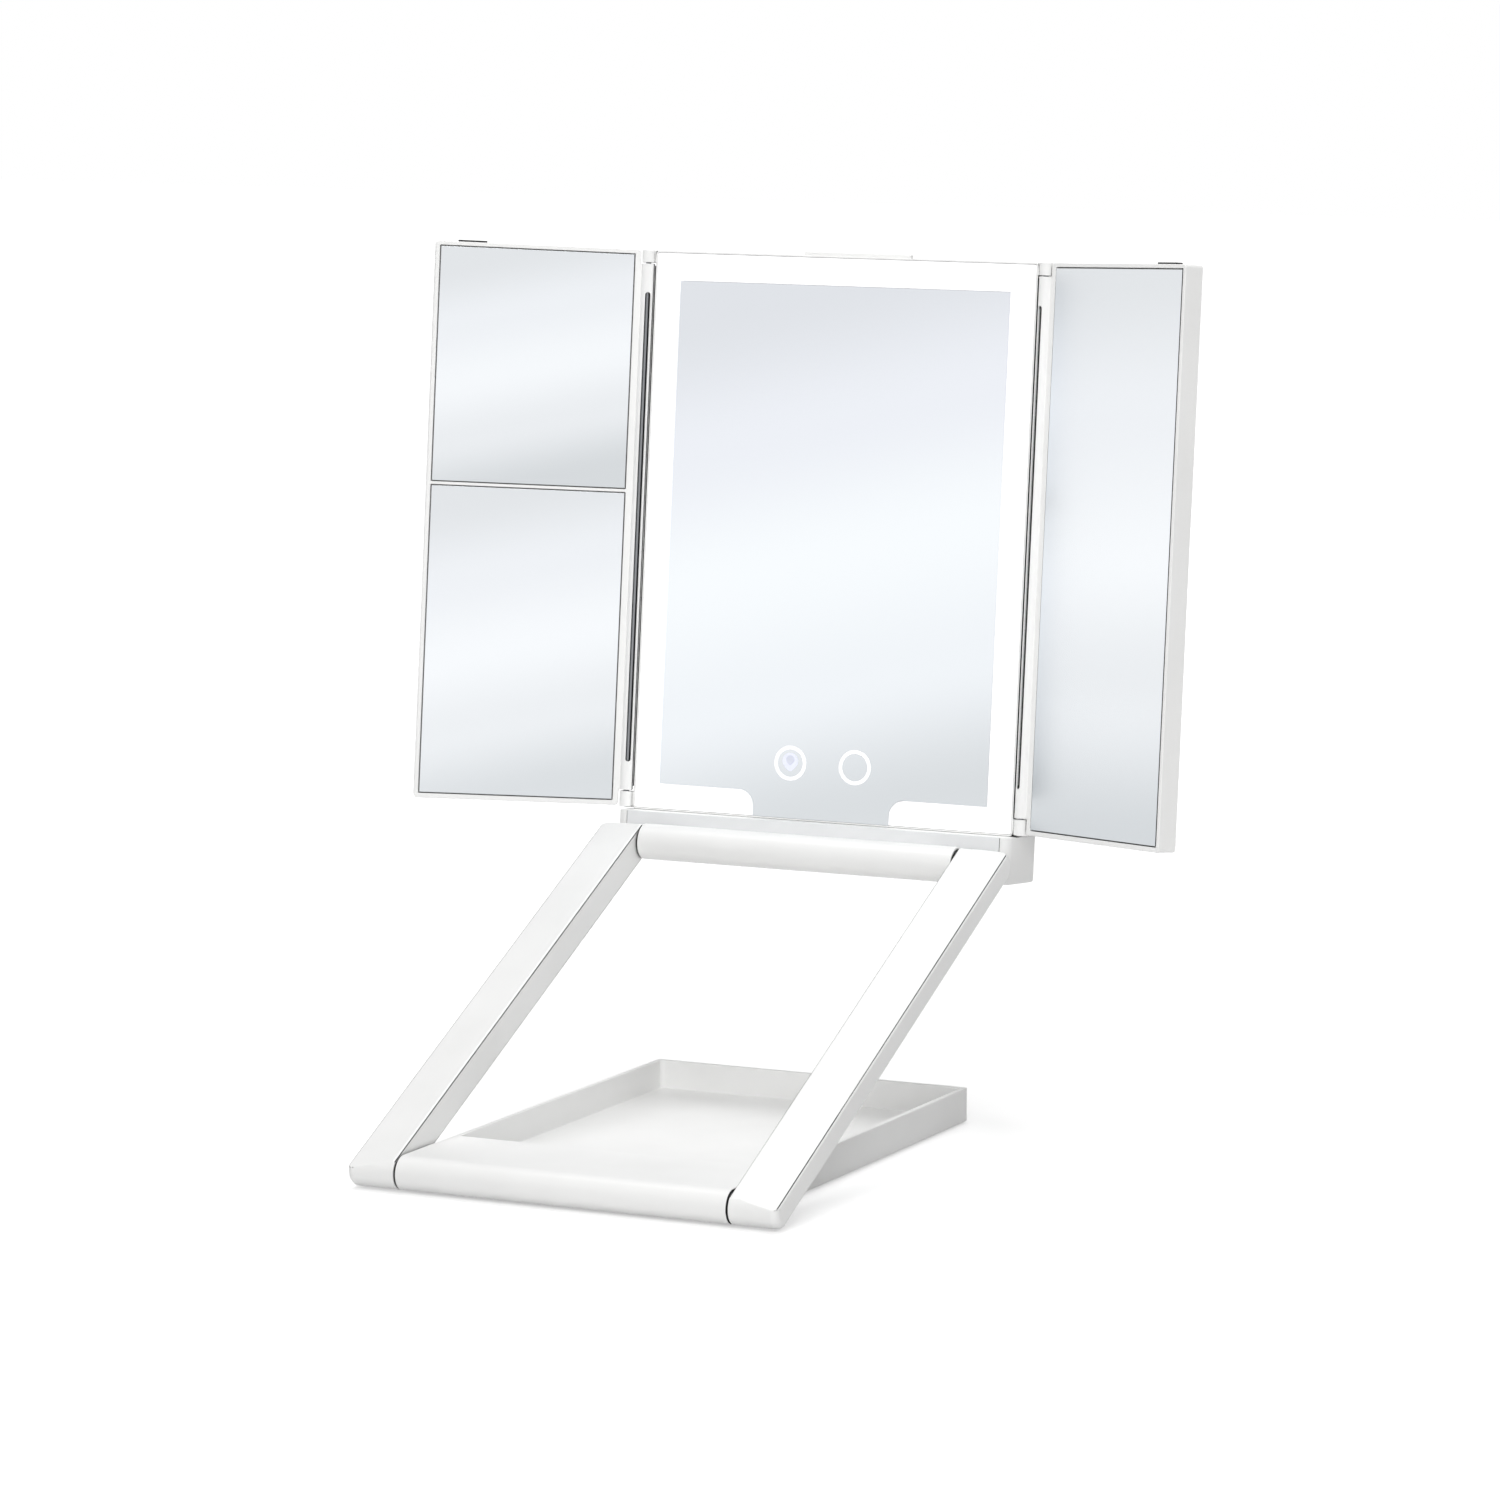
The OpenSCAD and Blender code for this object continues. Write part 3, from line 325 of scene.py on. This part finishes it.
def lit_acrylic(name, colour, strength):
    """Frosted acrylic that glows: an opal surface with even light behind it."""
    made = new_material(name)
    tree = made[1]
    place = add_node(tree, "ShaderNodeTexCoord").outputs["Object"]
    bump = add_node(tree, "ShaderNodeBump", {"Height": noise(tree, place, FROST_GRAIN, 2.0),
                                             "Strength": FROST_BUMP, "Distance": FROST_HEIGHT})
    return finish_material(made, {"Base Color": linear(colour), "Roughness": ACRYLIC_ROUGHNESS,
                                  "Normal": bump.outputs["Normal"], "Emission Color": linear(colour),
                                  "Emission Strength": strength, "IOR": ACRYLIC_IOR})


light_acrylic = lit_acrylic("lit_opal_acrylic", "FFFFFF", 0.3)
sign_glow = lit_acrylic("lit_sign_print", "FFFFFF", 0.2)
sign_blue = lit_acrylic("lit_bulb_sign", "E6E9F6", 0.2)
sign_core = lit_acrylic("lit_bulb_core", "DADDEA", 0.12)

# %% [markdown]
# ## Metals, rubber and the rest
# Rods and screws are drawn or plated steel: fine lines along the rod, seen as stretched noise. A screw's cross
# recess is too small to darken by itself, so its shade is painted: the steel darkens where it is shut in.
# The feet are soft rubber, and the pieces inside get the plain finish that such pieces have.

# %% Steel
LINE_WIDTH, LINE_LENGTH = 0.15 * MM, 6 * MM
LINE_GLOSS = 0.08

RECESS_REACH = 0.7 * MM
RECESS_LIMITS = (0.4, 0.8, SEAM_SHADE_DARKEST)


def drawn_steel(name, colour, roughness, grain_axis, painted_recess_shade=False):
    """Drawn or plated steel: a metal with fine lines along one axis, and painted shade in its recesses if asked.
    """
    made = new_material(name)
    tree = made[1]
    place = add_node(tree, "ShaderNodeTexCoord").outputs["Object"]
    stretch = [1 / LINE_WIDTH] * 3
    stretch[grain_axis] = 1 / LINE_LENGTH
    lines = add_node(tree, "ShaderNodeMapping", {"Vector": place, "Scale": stretch})
    gloss = add_node(tree, "ShaderNodeMapRange",
                     {"Value": noise(tree, lines.outputs["Vector"], 1.0, 2.0),
                      "To Min": roughness - LINE_GLOSS, "To Max": roughness + LINE_GLOSS})
    shade = linear(colour)
    # painted shade in the screw recesses
    if painted_recess_shade:
        shade = with_painted_shade(tree, shade[:3], RECESS_REACH, RECESS_LIMITS)
    return finish_material(made, {"Base Color": shade, "Metallic": 1.0,
                                  "Roughness": gloss.outputs["Result"]})


X_AXIS, Y_AXIS, Z_AXIS = 0, 1, 2
rod_steel = drawn_steel("drawn_steel", "8F9194", 0.32, Z_AXIS)
shaft_steel = drawn_steel("ground_steel_shaft", "BEC0C3", 0.28, X_AXIS)
screw_steel = drawn_steel("zinc_plated_steel", "C9CCCF", 0.3, Y_AXIS, painted_recess_shade=True)
nickel = drawn_steel("nickel_plate", "C8C5BE", 0.25, Y_AXIS)


# %% Matt pieces
MATT_DARK, MATT_LIGHT = 0.3, 0.7
MATT_BUMP = 0.3


def matt_finish(name, light_hex, dark_hex, grain, roughness, bump_height):
    """A dull surface with a grain of a real size: rubber, foam, cast iron or a circuit board."""
    made = new_material(name)
    tree = made[1]
    specks = noise(tree, add_node(tree, "ShaderNodeTexCoord").outputs["Object"], grain, 4.0)
    shade = add_node(tree, "ShaderNodeValToRGB", {"Fac": specks})
    set_stops(shade, [(MATT_DARK, dark_hex), (MATT_LIGHT, light_hex)])
    bump = add_node(tree, "ShaderNodeBump",
                    {"Height": specks, "Strength": MATT_BUMP, "Distance": bump_height})
    return finish_material(made, {"Base Color": shade.outputs["Color"], "Roughness": roughness,
                                  "Normal": bump.outputs["Normal"]})


foot_rubber = matt_finish("foot_rubber", "C9C9C7", "BDBDBB", 0.8 * MM, 0.75, 0.05 * MM)
cast_iron = matt_finish("cast_iron", "4A4B4D", "37383A", 1.2 * MM, 0.65, 0.1 * MM)
acetal = matt_finish("black_acetal", "1C1C1E", "161618", 2.0 * MM, 0.5, 0.01 * MM)
foam_tape = matt_finish("black_foam_tape", "262626", "161616", 0.5 * MM, 0.9, 0.1 * MM)
solder_mask = matt_finish("green_solder_mask", "2F7A4C", "256A40", 3.0 * MM, 0.4, 0.01 * MM)
led_board = matt_finish("white_led_board", "F3F1E6", "E6E2CF", 4.0 * MM, 0.5, 0.01 * MM)
battery_sleeve = matt_finish("battery_sleeve", "56657F", "4B5972", 8.0 * MM, 0.38, 0.02 * MM)

# %% Give every node its finish
FINISHES = {
    "white_abs": white_abs, "strip_abs": strip_abs, "diffuser": light_acrylic, "touch_print": sign_glow,
    "rod_steel": rod_steel, "screw_steel": screw_steel, "magnet_nickel": nickel, "ballast_iron": cast_iron,
    "washer_plastic": acetal, "foot_rubber": foot_rubber, "foam_tape": foam_tape,
    "circuit_board": solder_mask, "led_strip": led_board, "battery_wrap": battery_sleeve,
}
slot_of = {part["node"]: part["material_slot"] for part in frame["record"]["subparts"]}
body_of = {node: body for body, members in bodies.items() for node in members}
HINGED_FRAMES = ("centre_frame", "left_wing_frame", "right_wing_frame")


def finish_of(node):
    """A node's material: its own mirror glass, the frame ABS, a shaft's steel or its slot's finish."""
    if node in mirror_materials:
        return mirror_materials[node]
    if node in HINGED_FRAMES:
        return frame_abs
    return shaft_steel if "shafts" in node else FINISHES[slot_of[node]]


for name, shape in nodes.items():
    for material_slot in shape.material_slots:
        material_slot.material = finish_of(name)
print("finished", len(nodes), "nodes")

# %% [markdown]
# ## Rounded mould edges
# No moulded part has knife edges: a small radius catches a thin line of light. A copy of the
# node's mesh gets its triangles merged back into flat faces, then the sharp edges are bevelled.
# The radius is a real one, 0.2 to 0.5 mm and less on the glass. Edges that touch each other form a
# group, and a group no larger than a screw hole keeps its edges, so that the bevel has room
# everywhere else.

# %% Edge rounding
MERGE = 0.002 * MM
SAME_PLACE = 0.0002 * MM
FLAT = math.radians(0.6)
SHARP = math.radians(28)
SMOOTH = math.radians(50)
HOLE_SIZE = 7 * MM
EDGE_SEGMENTS = 3


def merged_copy(node):
    """A bmesh of a node with its triangles merged into flat faces."""
    shape = bmesh.new()
    shape.from_mesh(nodes[node].data)
    bmesh.ops.remove_doubles(shape, verts=shape.verts, dist=MERGE)
    bmesh.ops.dissolve_limit(shape, angle_limit=FLAT, verts=shape.verts, edges=shape.edges)
    return shape


def edge_groups(edges):
    """Sorts edges into groups that hang together."""
    waiting = set(edges)
    groups = []
    while waiting:
        group = [waiting.pop()]
        for edge in group:
            touching = {other for vertex in edge.verts for other in vertex.link_edges} & waiting
            waiting -= touching
            group.extend(touching)
        groups.append(group)
    return groups


def size_of(group):
    """The longest side of the box round a group of edges."""
    places = [vertex.co for edge in group for vertex in edge.verts]
    return max(max(p[axis] for p in places) - min(p[axis] for p in places) for axis in range(3))


def round_edges(shape, radius, segments, smallest):
    """Bevels the sharp edges of a bmesh, apart from groups under the smallest size, and clears slivers."""
    sharp = [edge for edge in shape.edges if edge.is_manifold and edge.calc_face_angle(0) > SHARP]
    edges = [edge for group in edge_groups(sharp) if size_of(group) > smallest for edge in group]
    bmesh.ops.bevel(shape, geom=edges, offset=radius, offset_type="OFFSET", segments=segments,
                    profile=0.5, affect="EDGES", clamp_overlap=False, material=-1)
    bmesh.ops.remove_doubles(shape, verts=shape.verts, dist=SAME_PLACE)
    bmesh.ops.dissolve_degenerate(shape, dist=SAME_PLACE, edges=shape.edges)


def as_object(name, shape):
    """Turns a bmesh into an object in the scene."""
    mesh = bpy.data.meshes.new(name)
    shape.to_mesh(mesh)
    shape.free()
    made = bpy.data.objects.new(name, mesh)
    bpy.context.scene.collection.objects.link(made)
    return made


def add_piece(name, shape, material, body):
    """Makes a piece of a bmesh, with smooth rounds and flat faces, riding on a body."""
    piece = as_object(name, shape)
    piece.data.materials.append(material)
    piece.data.shade_smooth()
    piece.data.set_sharp_from_angle(angle=SMOOTH)
    piece.modifiers.new("flat faces", "WEIGHTED_NORMAL").keep_sharp = True
    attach(piece, body)
    return piece


def rounded_copy(node, radius):
    """A copy of a node with its sharp edges rounded, in the node's place."""
    shape = merged_copy(node)
    round_edges(shape, radius, EDGE_SEGMENTS, HOLE_SIZE)
    piece = add_piece(node + "_moulding", shape, finish_of(node), body_of[node])
    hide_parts(node)
    return piece


EDGE_RADII = {
    "tray_shell": 0.5, "base_cover": 0.3, "left_arm": 0.45, "right_arm": 0.45, "left_arm_cover": 0.2,
    "right_arm_cover": 0.2, "crossbar": 0.4, "chin_housing": 0.4, "chin_front_strip": 0.3,
    "centre_frame": 0.3, "rear_cover": 0.5, "left_wing_frame": 0.3, "right_wing_frame": 0.3,
    "left_wing_cover": 0.3, "right_wing_cover": 0.3, "front_foot": 0.3, "rear_foot": 0.3,
    "left_upper_mirror": 0.12, "left_lower_mirror": 0.12, "right_mirror": 0.12,
}
for node, radius in EDGE_RADII.items():
    moulding = rounded_copy(node, radius * MM)
    print(node, "rounded to", radius, "mm,", len(moulding.data.polygons), "faces")

# %% [markdown]
# ## Screws with cross recesses
# The screws that one can see, on the back, on the underside and under the arms, are small
# pan-head screws. Their heads get a rounded rim, and a cross is cut out of each head. The cutter
# starts as a cube whose four sides are pulled out into a plus; its bottom is then drawn in, like
# the point of a driver. A boolean takes all the crosses of a node out in one go.

# %% Cross recesses
CROSS_SPAN = 2.3 * MM
CROSS_WIDTH = 0.55 * MM
CROSS_DEPTH = 0.7 * MM
CROSS_TAPER = 0.55
HEAD_ROUND, HEAD_SEGMENTS = 0.3 * MM, 2


def head_centres(shape, outward):
    """The middle of the outermost face of each separate screw in a bmesh."""
    centres = []
    for group in edge_groups(shape.edges):
        places = [vertex.co for edge in group for vertex in edge.verts]
        top = max(p.dot(outward) for p in places)
        rim = [p for p in places if top - p.dot(outward) < MERGE]
        centres.append(sum(rim, Vector()) / len(rim))
    return centres


def add_cross(cutter, centre, outward):
    """Adds one tapered plus to the cutter, its middle on the head's face."""
    made = bmesh.ops.create_cube(cutter, size=1.0)["verts"]
    bmesh.ops.scale(cutter, verts=made, vec=(CROSS_WIDTH, CROSS_WIDTH, 2 * CROSS_DEPTH))
    sides = {face for vertex in made for face in vertex.link_faces if abs(face.normal.z) < 0.5}
    reach = (CROSS_SPAN - CROSS_WIDTH) / 2
    for side in sides:
        outside = side.normal * reach
        pulled = bmesh.ops.extrude_discrete_faces(cutter, faces=[side])["faces"][0]
        bmesh.ops.translate(cutter, verts=pulled.verts, vec=outside)
        made = list(set(made) | set(pulled.verts))
    low = [vertex for vertex in made if vertex.co.z < 0]
    bmesh.ops.scale(cutter, verts=low, vec=(CROSS_TAPER, CROSS_TAPER, 1.0))
    turn = outward.to_track_quat("Z", "Y").to_matrix().to_4x4()
    bmesh.ops.transform(cutter, verts=made, matrix=Matrix.Translation(centre) @ turn)


def cross_head_screws(node, outward):
    """A node's screws with rounded heads and cross recesses, in the node's place."""
    shape = merged_copy(node)
    cutter = bmesh.new()
    for centre in head_centres(shape, outward):
        add_cross(cutter, centre, outward)
    bmesh.ops.recalc_face_normals(cutter, faces=cutter.faces)
    round_edges(shape, HEAD_ROUND, HEAD_SEGMENTS, 0.0)
    cutter_object = as_object("cross_cutter", cutter)
    blank = as_object("screw_blank", shape)
    cut = blank.modifiers.new("crosses", "BOOLEAN")
    cut.object = cutter_object
    cut.solver = "EXACT"
    evaluated = blank.evaluated_get(bpy.context.evaluated_depsgraph_get())
    result = bmesh.new()
    result.from_mesh(evaluated.to_mesh())
    bpy.data.objects.remove(blank)
    bpy.data.objects.remove(cutter_object)
    piece = add_piece(node + "_cross_heads", result, finish_of(node), body_of[node])
    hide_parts(node)
    return piece


SCREW_HEADS = {"base_screws": Vector((0.0, 0.0, -1.0)), "arm_cover_screws": ARM_DOWN,
               "rear_cover_screws": -PANEL_FORWARD}
for node, outward in SCREW_HEADS.items():
    screws = cross_head_screws(node, outward)
    print(node, len(screws.data.polygons), "faces")

# %% [markdown]
# ## Finger notches
# Each wing has a slot in its top edge for a fingernail. The shade in the slot is painted with a black liner that
# fills it, a dark piece where there is only shade. The liner's rim stands a little above the edge, which shows as
# a short dark line of painted shade from the front. The liner is a block without its top, and solidify gives its
# walls their thickness.

# %% Notch liners that paint the notch shade
NOTCH_LENGTH, NOTCH_WIDTH, NOTCH_DEPTH = 12.5 * MM, 3.2 * MM, 1.6 * MM
NOTCH_FROM_EDGE, NOTCH_BEHIND_FACE = 16 * MM, 5 * MM
LINER_GAP, LINER_WALL, LINER_RIM = 0.03 * MM, 0.5 * MM, 0.8 * MM


def notch_shade_liner(side):
    """An open black tray that fills the notch of one wing and paints its shade."""
    name = SIDES[side]
    wing = wing_matrix(side, 0.0, 0.0, 0.0)
    edge = span(name + "_wing_frame", wing, 0)[1]
    top = span(name + "_wing_frame", wing, 1)[1]
    height = NOTCH_DEPTH - LINER_GAP + LINER_RIM
    shape = bmesh.new()
    bmesh.ops.create_cube(shape, size=1.0)
    bmesh.ops.scale(shape, verts=shape.verts,
                    vec=(NOTCH_LENGTH - 2 * LINER_GAP, height, NOTCH_WIDTH - 2 * LINER_GAP))
    lid = [face for face in shape.faces if face.normal.y > 0.5]
    bmesh.ops.delete(shape, geom=lid, context="FACES_ONLY")
    bmesh.ops.recalc_face_normals(shape, faces=shape.faces)
    bmesh.ops.solidify(shape, geom=shape.faces[:], thickness=LINER_WALL)
    shape.transform(wing_matrix(side, edge - NOTCH_FROM_EDGE, top + LINER_RIM - height / 2,
                                -NOTCH_BEHIND_FACE))
    bmesh.ops.recalc_face_normals(shape, faces=shape.faces)
    return add_piece(name + "_notch_shade_liner", shape, acetal, name + "_wing")


for side in SIDES:
    liner = notch_shade_liner(side)
    print(liner.name, len(liner.data.polygons), "faces")

# %% [markdown]
# ## Painted gap shade beside the barrels
# The gap between each hinge barrel and the lit panel shows as a black line of shade, although both sides of it are
# white. That shade is painted: a thin black plate along the flank of the frame stands where there is only shade
# and gives that line. It is a slim bevelled plate, a little more than half as thick as the gap is wide, so that
# the barrel still turns freely beside it.

# %% Black plates that paint the barrel-gap shade
BARREL_R, BARREL_GAP = 2.8 * MM, 0.7 * MM
PLATE_THICK, PLATE_DEPTH, PLATE_END = 0.38 * MM, 4.0 * MM, 1.0 * MM
TOP_KNUCKLE, BOTTOM_KNUCKLE = 5.6 * MM, 7.8 * MM
flank = HINGE_ACROSS - BARREL_R - BARREL_GAP
plate_front = span("light_band", PANEL, 2)[1]
plate_low, plate_high = span("left_wing_frame", PANEL, 1)
plate_low += BOTTOM_KNUCKLE + PLATE_END
plate_high -= TOP_KNUCKLE + PLATE_END
for side, name in SIDES.items():
    # each plate is black to paint the shade in the gap beside the barrel
    shade_plate = bmesh.new()
    bmesh.ops.create_cube(shade_plate, size=1.0)
    bmesh.ops.scale(shade_plate, verts=shade_plate.verts, vec=(PLATE_THICK, plate_high - plate_low, PLATE_DEPTH))
    round_edges(shade_plate, PLATE_THICK / 4, 1, 0.0)
    shade_plate.transform(panel_matrix(side * (flank + PLATE_THICK / 2), (plate_low + plate_high) / 2,
                                plate_front - PLATE_DEPTH / 2))
    add_piece(name + "_painted_gap_shade", shade_plate, foam_tape, "mirror")
print("painted gap shade plates", round((plate_high - plate_low) / MM, 1), "mm long")

# %% [markdown]
# ## Charging socket
# A charging socket is a small steel shell with a flat tongue in its middle, which carries the
# contacts. The tongue is a slim black plate with a bevelled end, set back a little in the mouth.

# %% Socket tongue
TONGUE_WIDTH, TONGUE_HEIGHT, TONGUE_LENGTH = 6.7 * MM, 0.7 * MM, 6.0 * MM
TONGUE_SET_BACK, TONGUE_ROUND, TONGUE_SEGMENTS = 0.8 * MM, 0.15 * MM, 2
socket_low, socket_high = span("charging_socket", PANEL, 1)
socket_mouth = span("charging_socket", PANEL, 2)[0]
tongue = bmesh.new()
bmesh.ops.create_cube(tongue, size=1.0)
bmesh.ops.scale(tongue, verts=tongue.verts, vec=(TONGUE_WIDTH, TONGUE_HEIGHT, TONGUE_LENGTH))
round_edges(tongue, TONGUE_ROUND, TONGUE_SEGMENTS, 0.0)
tongue.transform(panel_matrix(0.0, (socket_low + socket_high) / 2,
                              socket_mouth + TONGUE_SET_BACK + TONGUE_LENGTH / 2))
add_piece("charging_tongue", tongue, acetal, "mirror")
print("socket mouth", round(-socket_mouth / MM, 1), "mm behind the crossbar's axis")

# %% [markdown]
# ## Bulb sign
# The left touch ring holds a small lamp sign: a round bulb that narrows to its cap. It is printed
# in a pale blue that glows a little. The outline starts as a circle, and its lower points are
# drawn in to make the neck; a thin face with a little height keeps it clear of the glass.

# %% Bulb sign
SIGN_HEIGHT = 0.03 * MM
CORE_HEIGHT = 0.045 * MM
rings_across, rings_up = (span("touch_rings", PANEL, axis) for axis in (0, 1))
ring_d = rings_up[1] - rings_up[0]
ring_across = (rings_across[1] - rings_across[0] - ring_d) / 2
ring_up = sum(rings_up) / 2
BULB_R, CORE_R = 3.7 * MM, 2.0 * MM
BULB_RISE, CORE_RISE = 0.7 * MM, 1.4 * MM
BULB_NECK, BULB_DROP, BULB_TAPER = 0.45, 0.12, 1.5
BULB_POINTS = 48
print("touch rings", round(ring_d / MM, 2), "mm wide at x", round(ring_across / MM, 2), "mm")


def on_glass(name, shape, across, up, height, material):
    """Turns a flat bmesh into a thin printed piece on the centre glass."""
    bmesh.ops.solidify(shape, geom=shape.faces[:], thickness=-height)
    shape.transform(panel_matrix(across, up, face_forward))
    bmesh.ops.recalc_face_normals(shape, faces=shape.faces)
    return add_piece(name, shape, material, "mirror")


def bulb_shape(radius):
    """A bulb outline, round above and drawn in to a neck below."""
    shape = bmesh.new()
    bmesh.ops.create_circle(shape, cap_ends=True, radius=radius, segments=BULB_POINTS)
    for vertex in shape.verts:
        down = max(0.0, -vertex.co.y / radius)
        vertex.co.x *= 1.0 - BULB_NECK * down ** BULB_TAPER
        vertex.co.y -= BULB_DROP * radius * down
    return shape


for name, radius, rise, height, material in (("bulb_sign", BULB_R, BULB_RISE, SIGN_HEIGHT, sign_blue),
                                             ("bulb_core", CORE_R, CORE_RISE, CORE_HEIGHT, sign_core)):
    on_glass(name, bulb_shape(radius), -ring_across, ring_up + rise, height, material)
    print(name, round(2 * radius / MM, 1), "mm wide")

# %% [markdown]
# ## Studio
# A white sweep and large soft lamps give the even light of a catalogue picture. The lamps are
# kept at a level where white plastic renders at about its own value. The floor's white comes
# from its material, which adds light only for the camera and for mirrors, and more of it further
# out, where the lamps don't reach. So the object still casts its shadow.

# %% Floor
FLOOR_SIDE = 16.0
NEAR_REACH, FAR_REACH = 0.4, 2.2
NEAR_GLOW, FAR_GLOW = 0.5, 1.0
floor_shape = bmesh.new()
bmesh.ops.create_grid(floor_shape, x_segments=1, y_segments=1, size=FLOOR_SIDE / 2)
floor = as_object("floor", floor_shape)


def seen_ray(tree):
    """1 where the camera, a mirror or glass looks at the surface, 0 for light that spreads."""
    paths = add_node(tree, "ShaderNodeLightPath")
    seen = paths.outputs["Is Camera Ray"]
    for kind in ("Is Glossy Ray", "Is Transmission Ray"):
        seen = add_node(tree, "ShaderNodeMath", {0: seen, 1: paths.outputs[kind]},
                        operation="MAXIMUM").outputs["Value"]
    return seen


floor_material, tree, output = new_material("white_paper_sweep")
place = add_node(tree, "ShaderNodeTexCoord").outputs["Object"]
away = add_node(tree, "ShaderNodeVectorMath", {0: place}, operation="LENGTH")
reach = add_node(tree, "ShaderNodeMapRange",
                 {"Value": away.outputs["Value"], "From Min": NEAR_REACH, "From Max": FAR_REACH,
                  "To Min": NEAR_GLOW, "To Max": FAR_GLOW})
glow_level = add_node(tree, "ShaderNodeMath", {0: reach.outputs["Result"], 1: seen_ray(tree)},
                      operation="MULTIPLY")
paper = add_node(tree, "ShaderNodeBsdfDiffuse", {"Color": linear("DEDEDE")})
glow = add_node(tree, "ShaderNodeEmission",
                {"Color": linear("FFFFFF"), "Strength": glow_level.outputs["Value"]})
both = add_node(tree, "ShaderNodeAddShader", {0: paper.outputs["BSDF"], 1: glow.outputs["Emission"]})
tree.links.new(both.outputs["Shader"], output.inputs["Surface"])
floor.data.materials.append(floor_material)
print("floor", FLOOR_SIDE, "m wide")

# %% World
ROOM_LIGHT = 0.22
world = bpy.data.worlds.new("white_room")
bpy.context.scene.world = world
world.use_nodes = True
tree = world.node_tree
tree.nodes.clear()
output = tree.nodes.new("ShaderNodeOutputWorld")
room = add_node(tree, "ShaderNodeBackground", {"Color": linear("FFFFFF"), "Strength": ROOM_LIGHT})
white = add_node(tree, "ShaderNodeBackground", {"Color": linear("FFFFFF"), "Strength": 1.0})
mixed = add_node(tree, "ShaderNodeMixShader",
                 {"Fac": seen_ray(tree), 1: room.outputs["Background"], 2: white.outputs["Background"]})
tree.links.new(mixed.outputs["Shader"], output.inputs["Surface"])


# %% Lamps
def soft_lamp(name, place, side, watts, in_mirrors):
    """A square soft box that faces the middle of the object."""
    data = bpy.data.lights.new(name, "AREA")
    data.shape = "SQUARE"
    data.size = side
    data.energy = watts
    lamp = bpy.data.objects.new(name, data)
    lamp.location = place
    lamp.rotation_mode = "QUATERNION"
    lamp.rotation_quaternion = (Vector(MIDDLE) - Vector(place)).to_track_quat("-Z", "Y")
    lamp.visible_glossy = in_mirrors
    bpy.context.scene.collection.objects.link(lamp)


MIDDLE = (0.0, 0.1, 0.15)
LAMPS = {
    "overhead_box": ((-0.2, 0.2, 2.2), 1.2, 23, True),
    "high_box": ((0.85, -1.8, 1.7), 1.2, 14, False),
    "front_box": ((1.0, -2.3, 0.8), 1.4, 24, False),
    "back_box": ((-0.6, 2.6, 1.1), 1.4, 12, False),
}
for name, (place, side, watts, in_mirrors) in LAMPS.items():
    soft_lamp(name, place, side, watts, in_mirrors)
    print(name, watts, "W from", place, "m")

# %% Colour management
bpy.context.scene.view_settings.view_transform = "Standard"
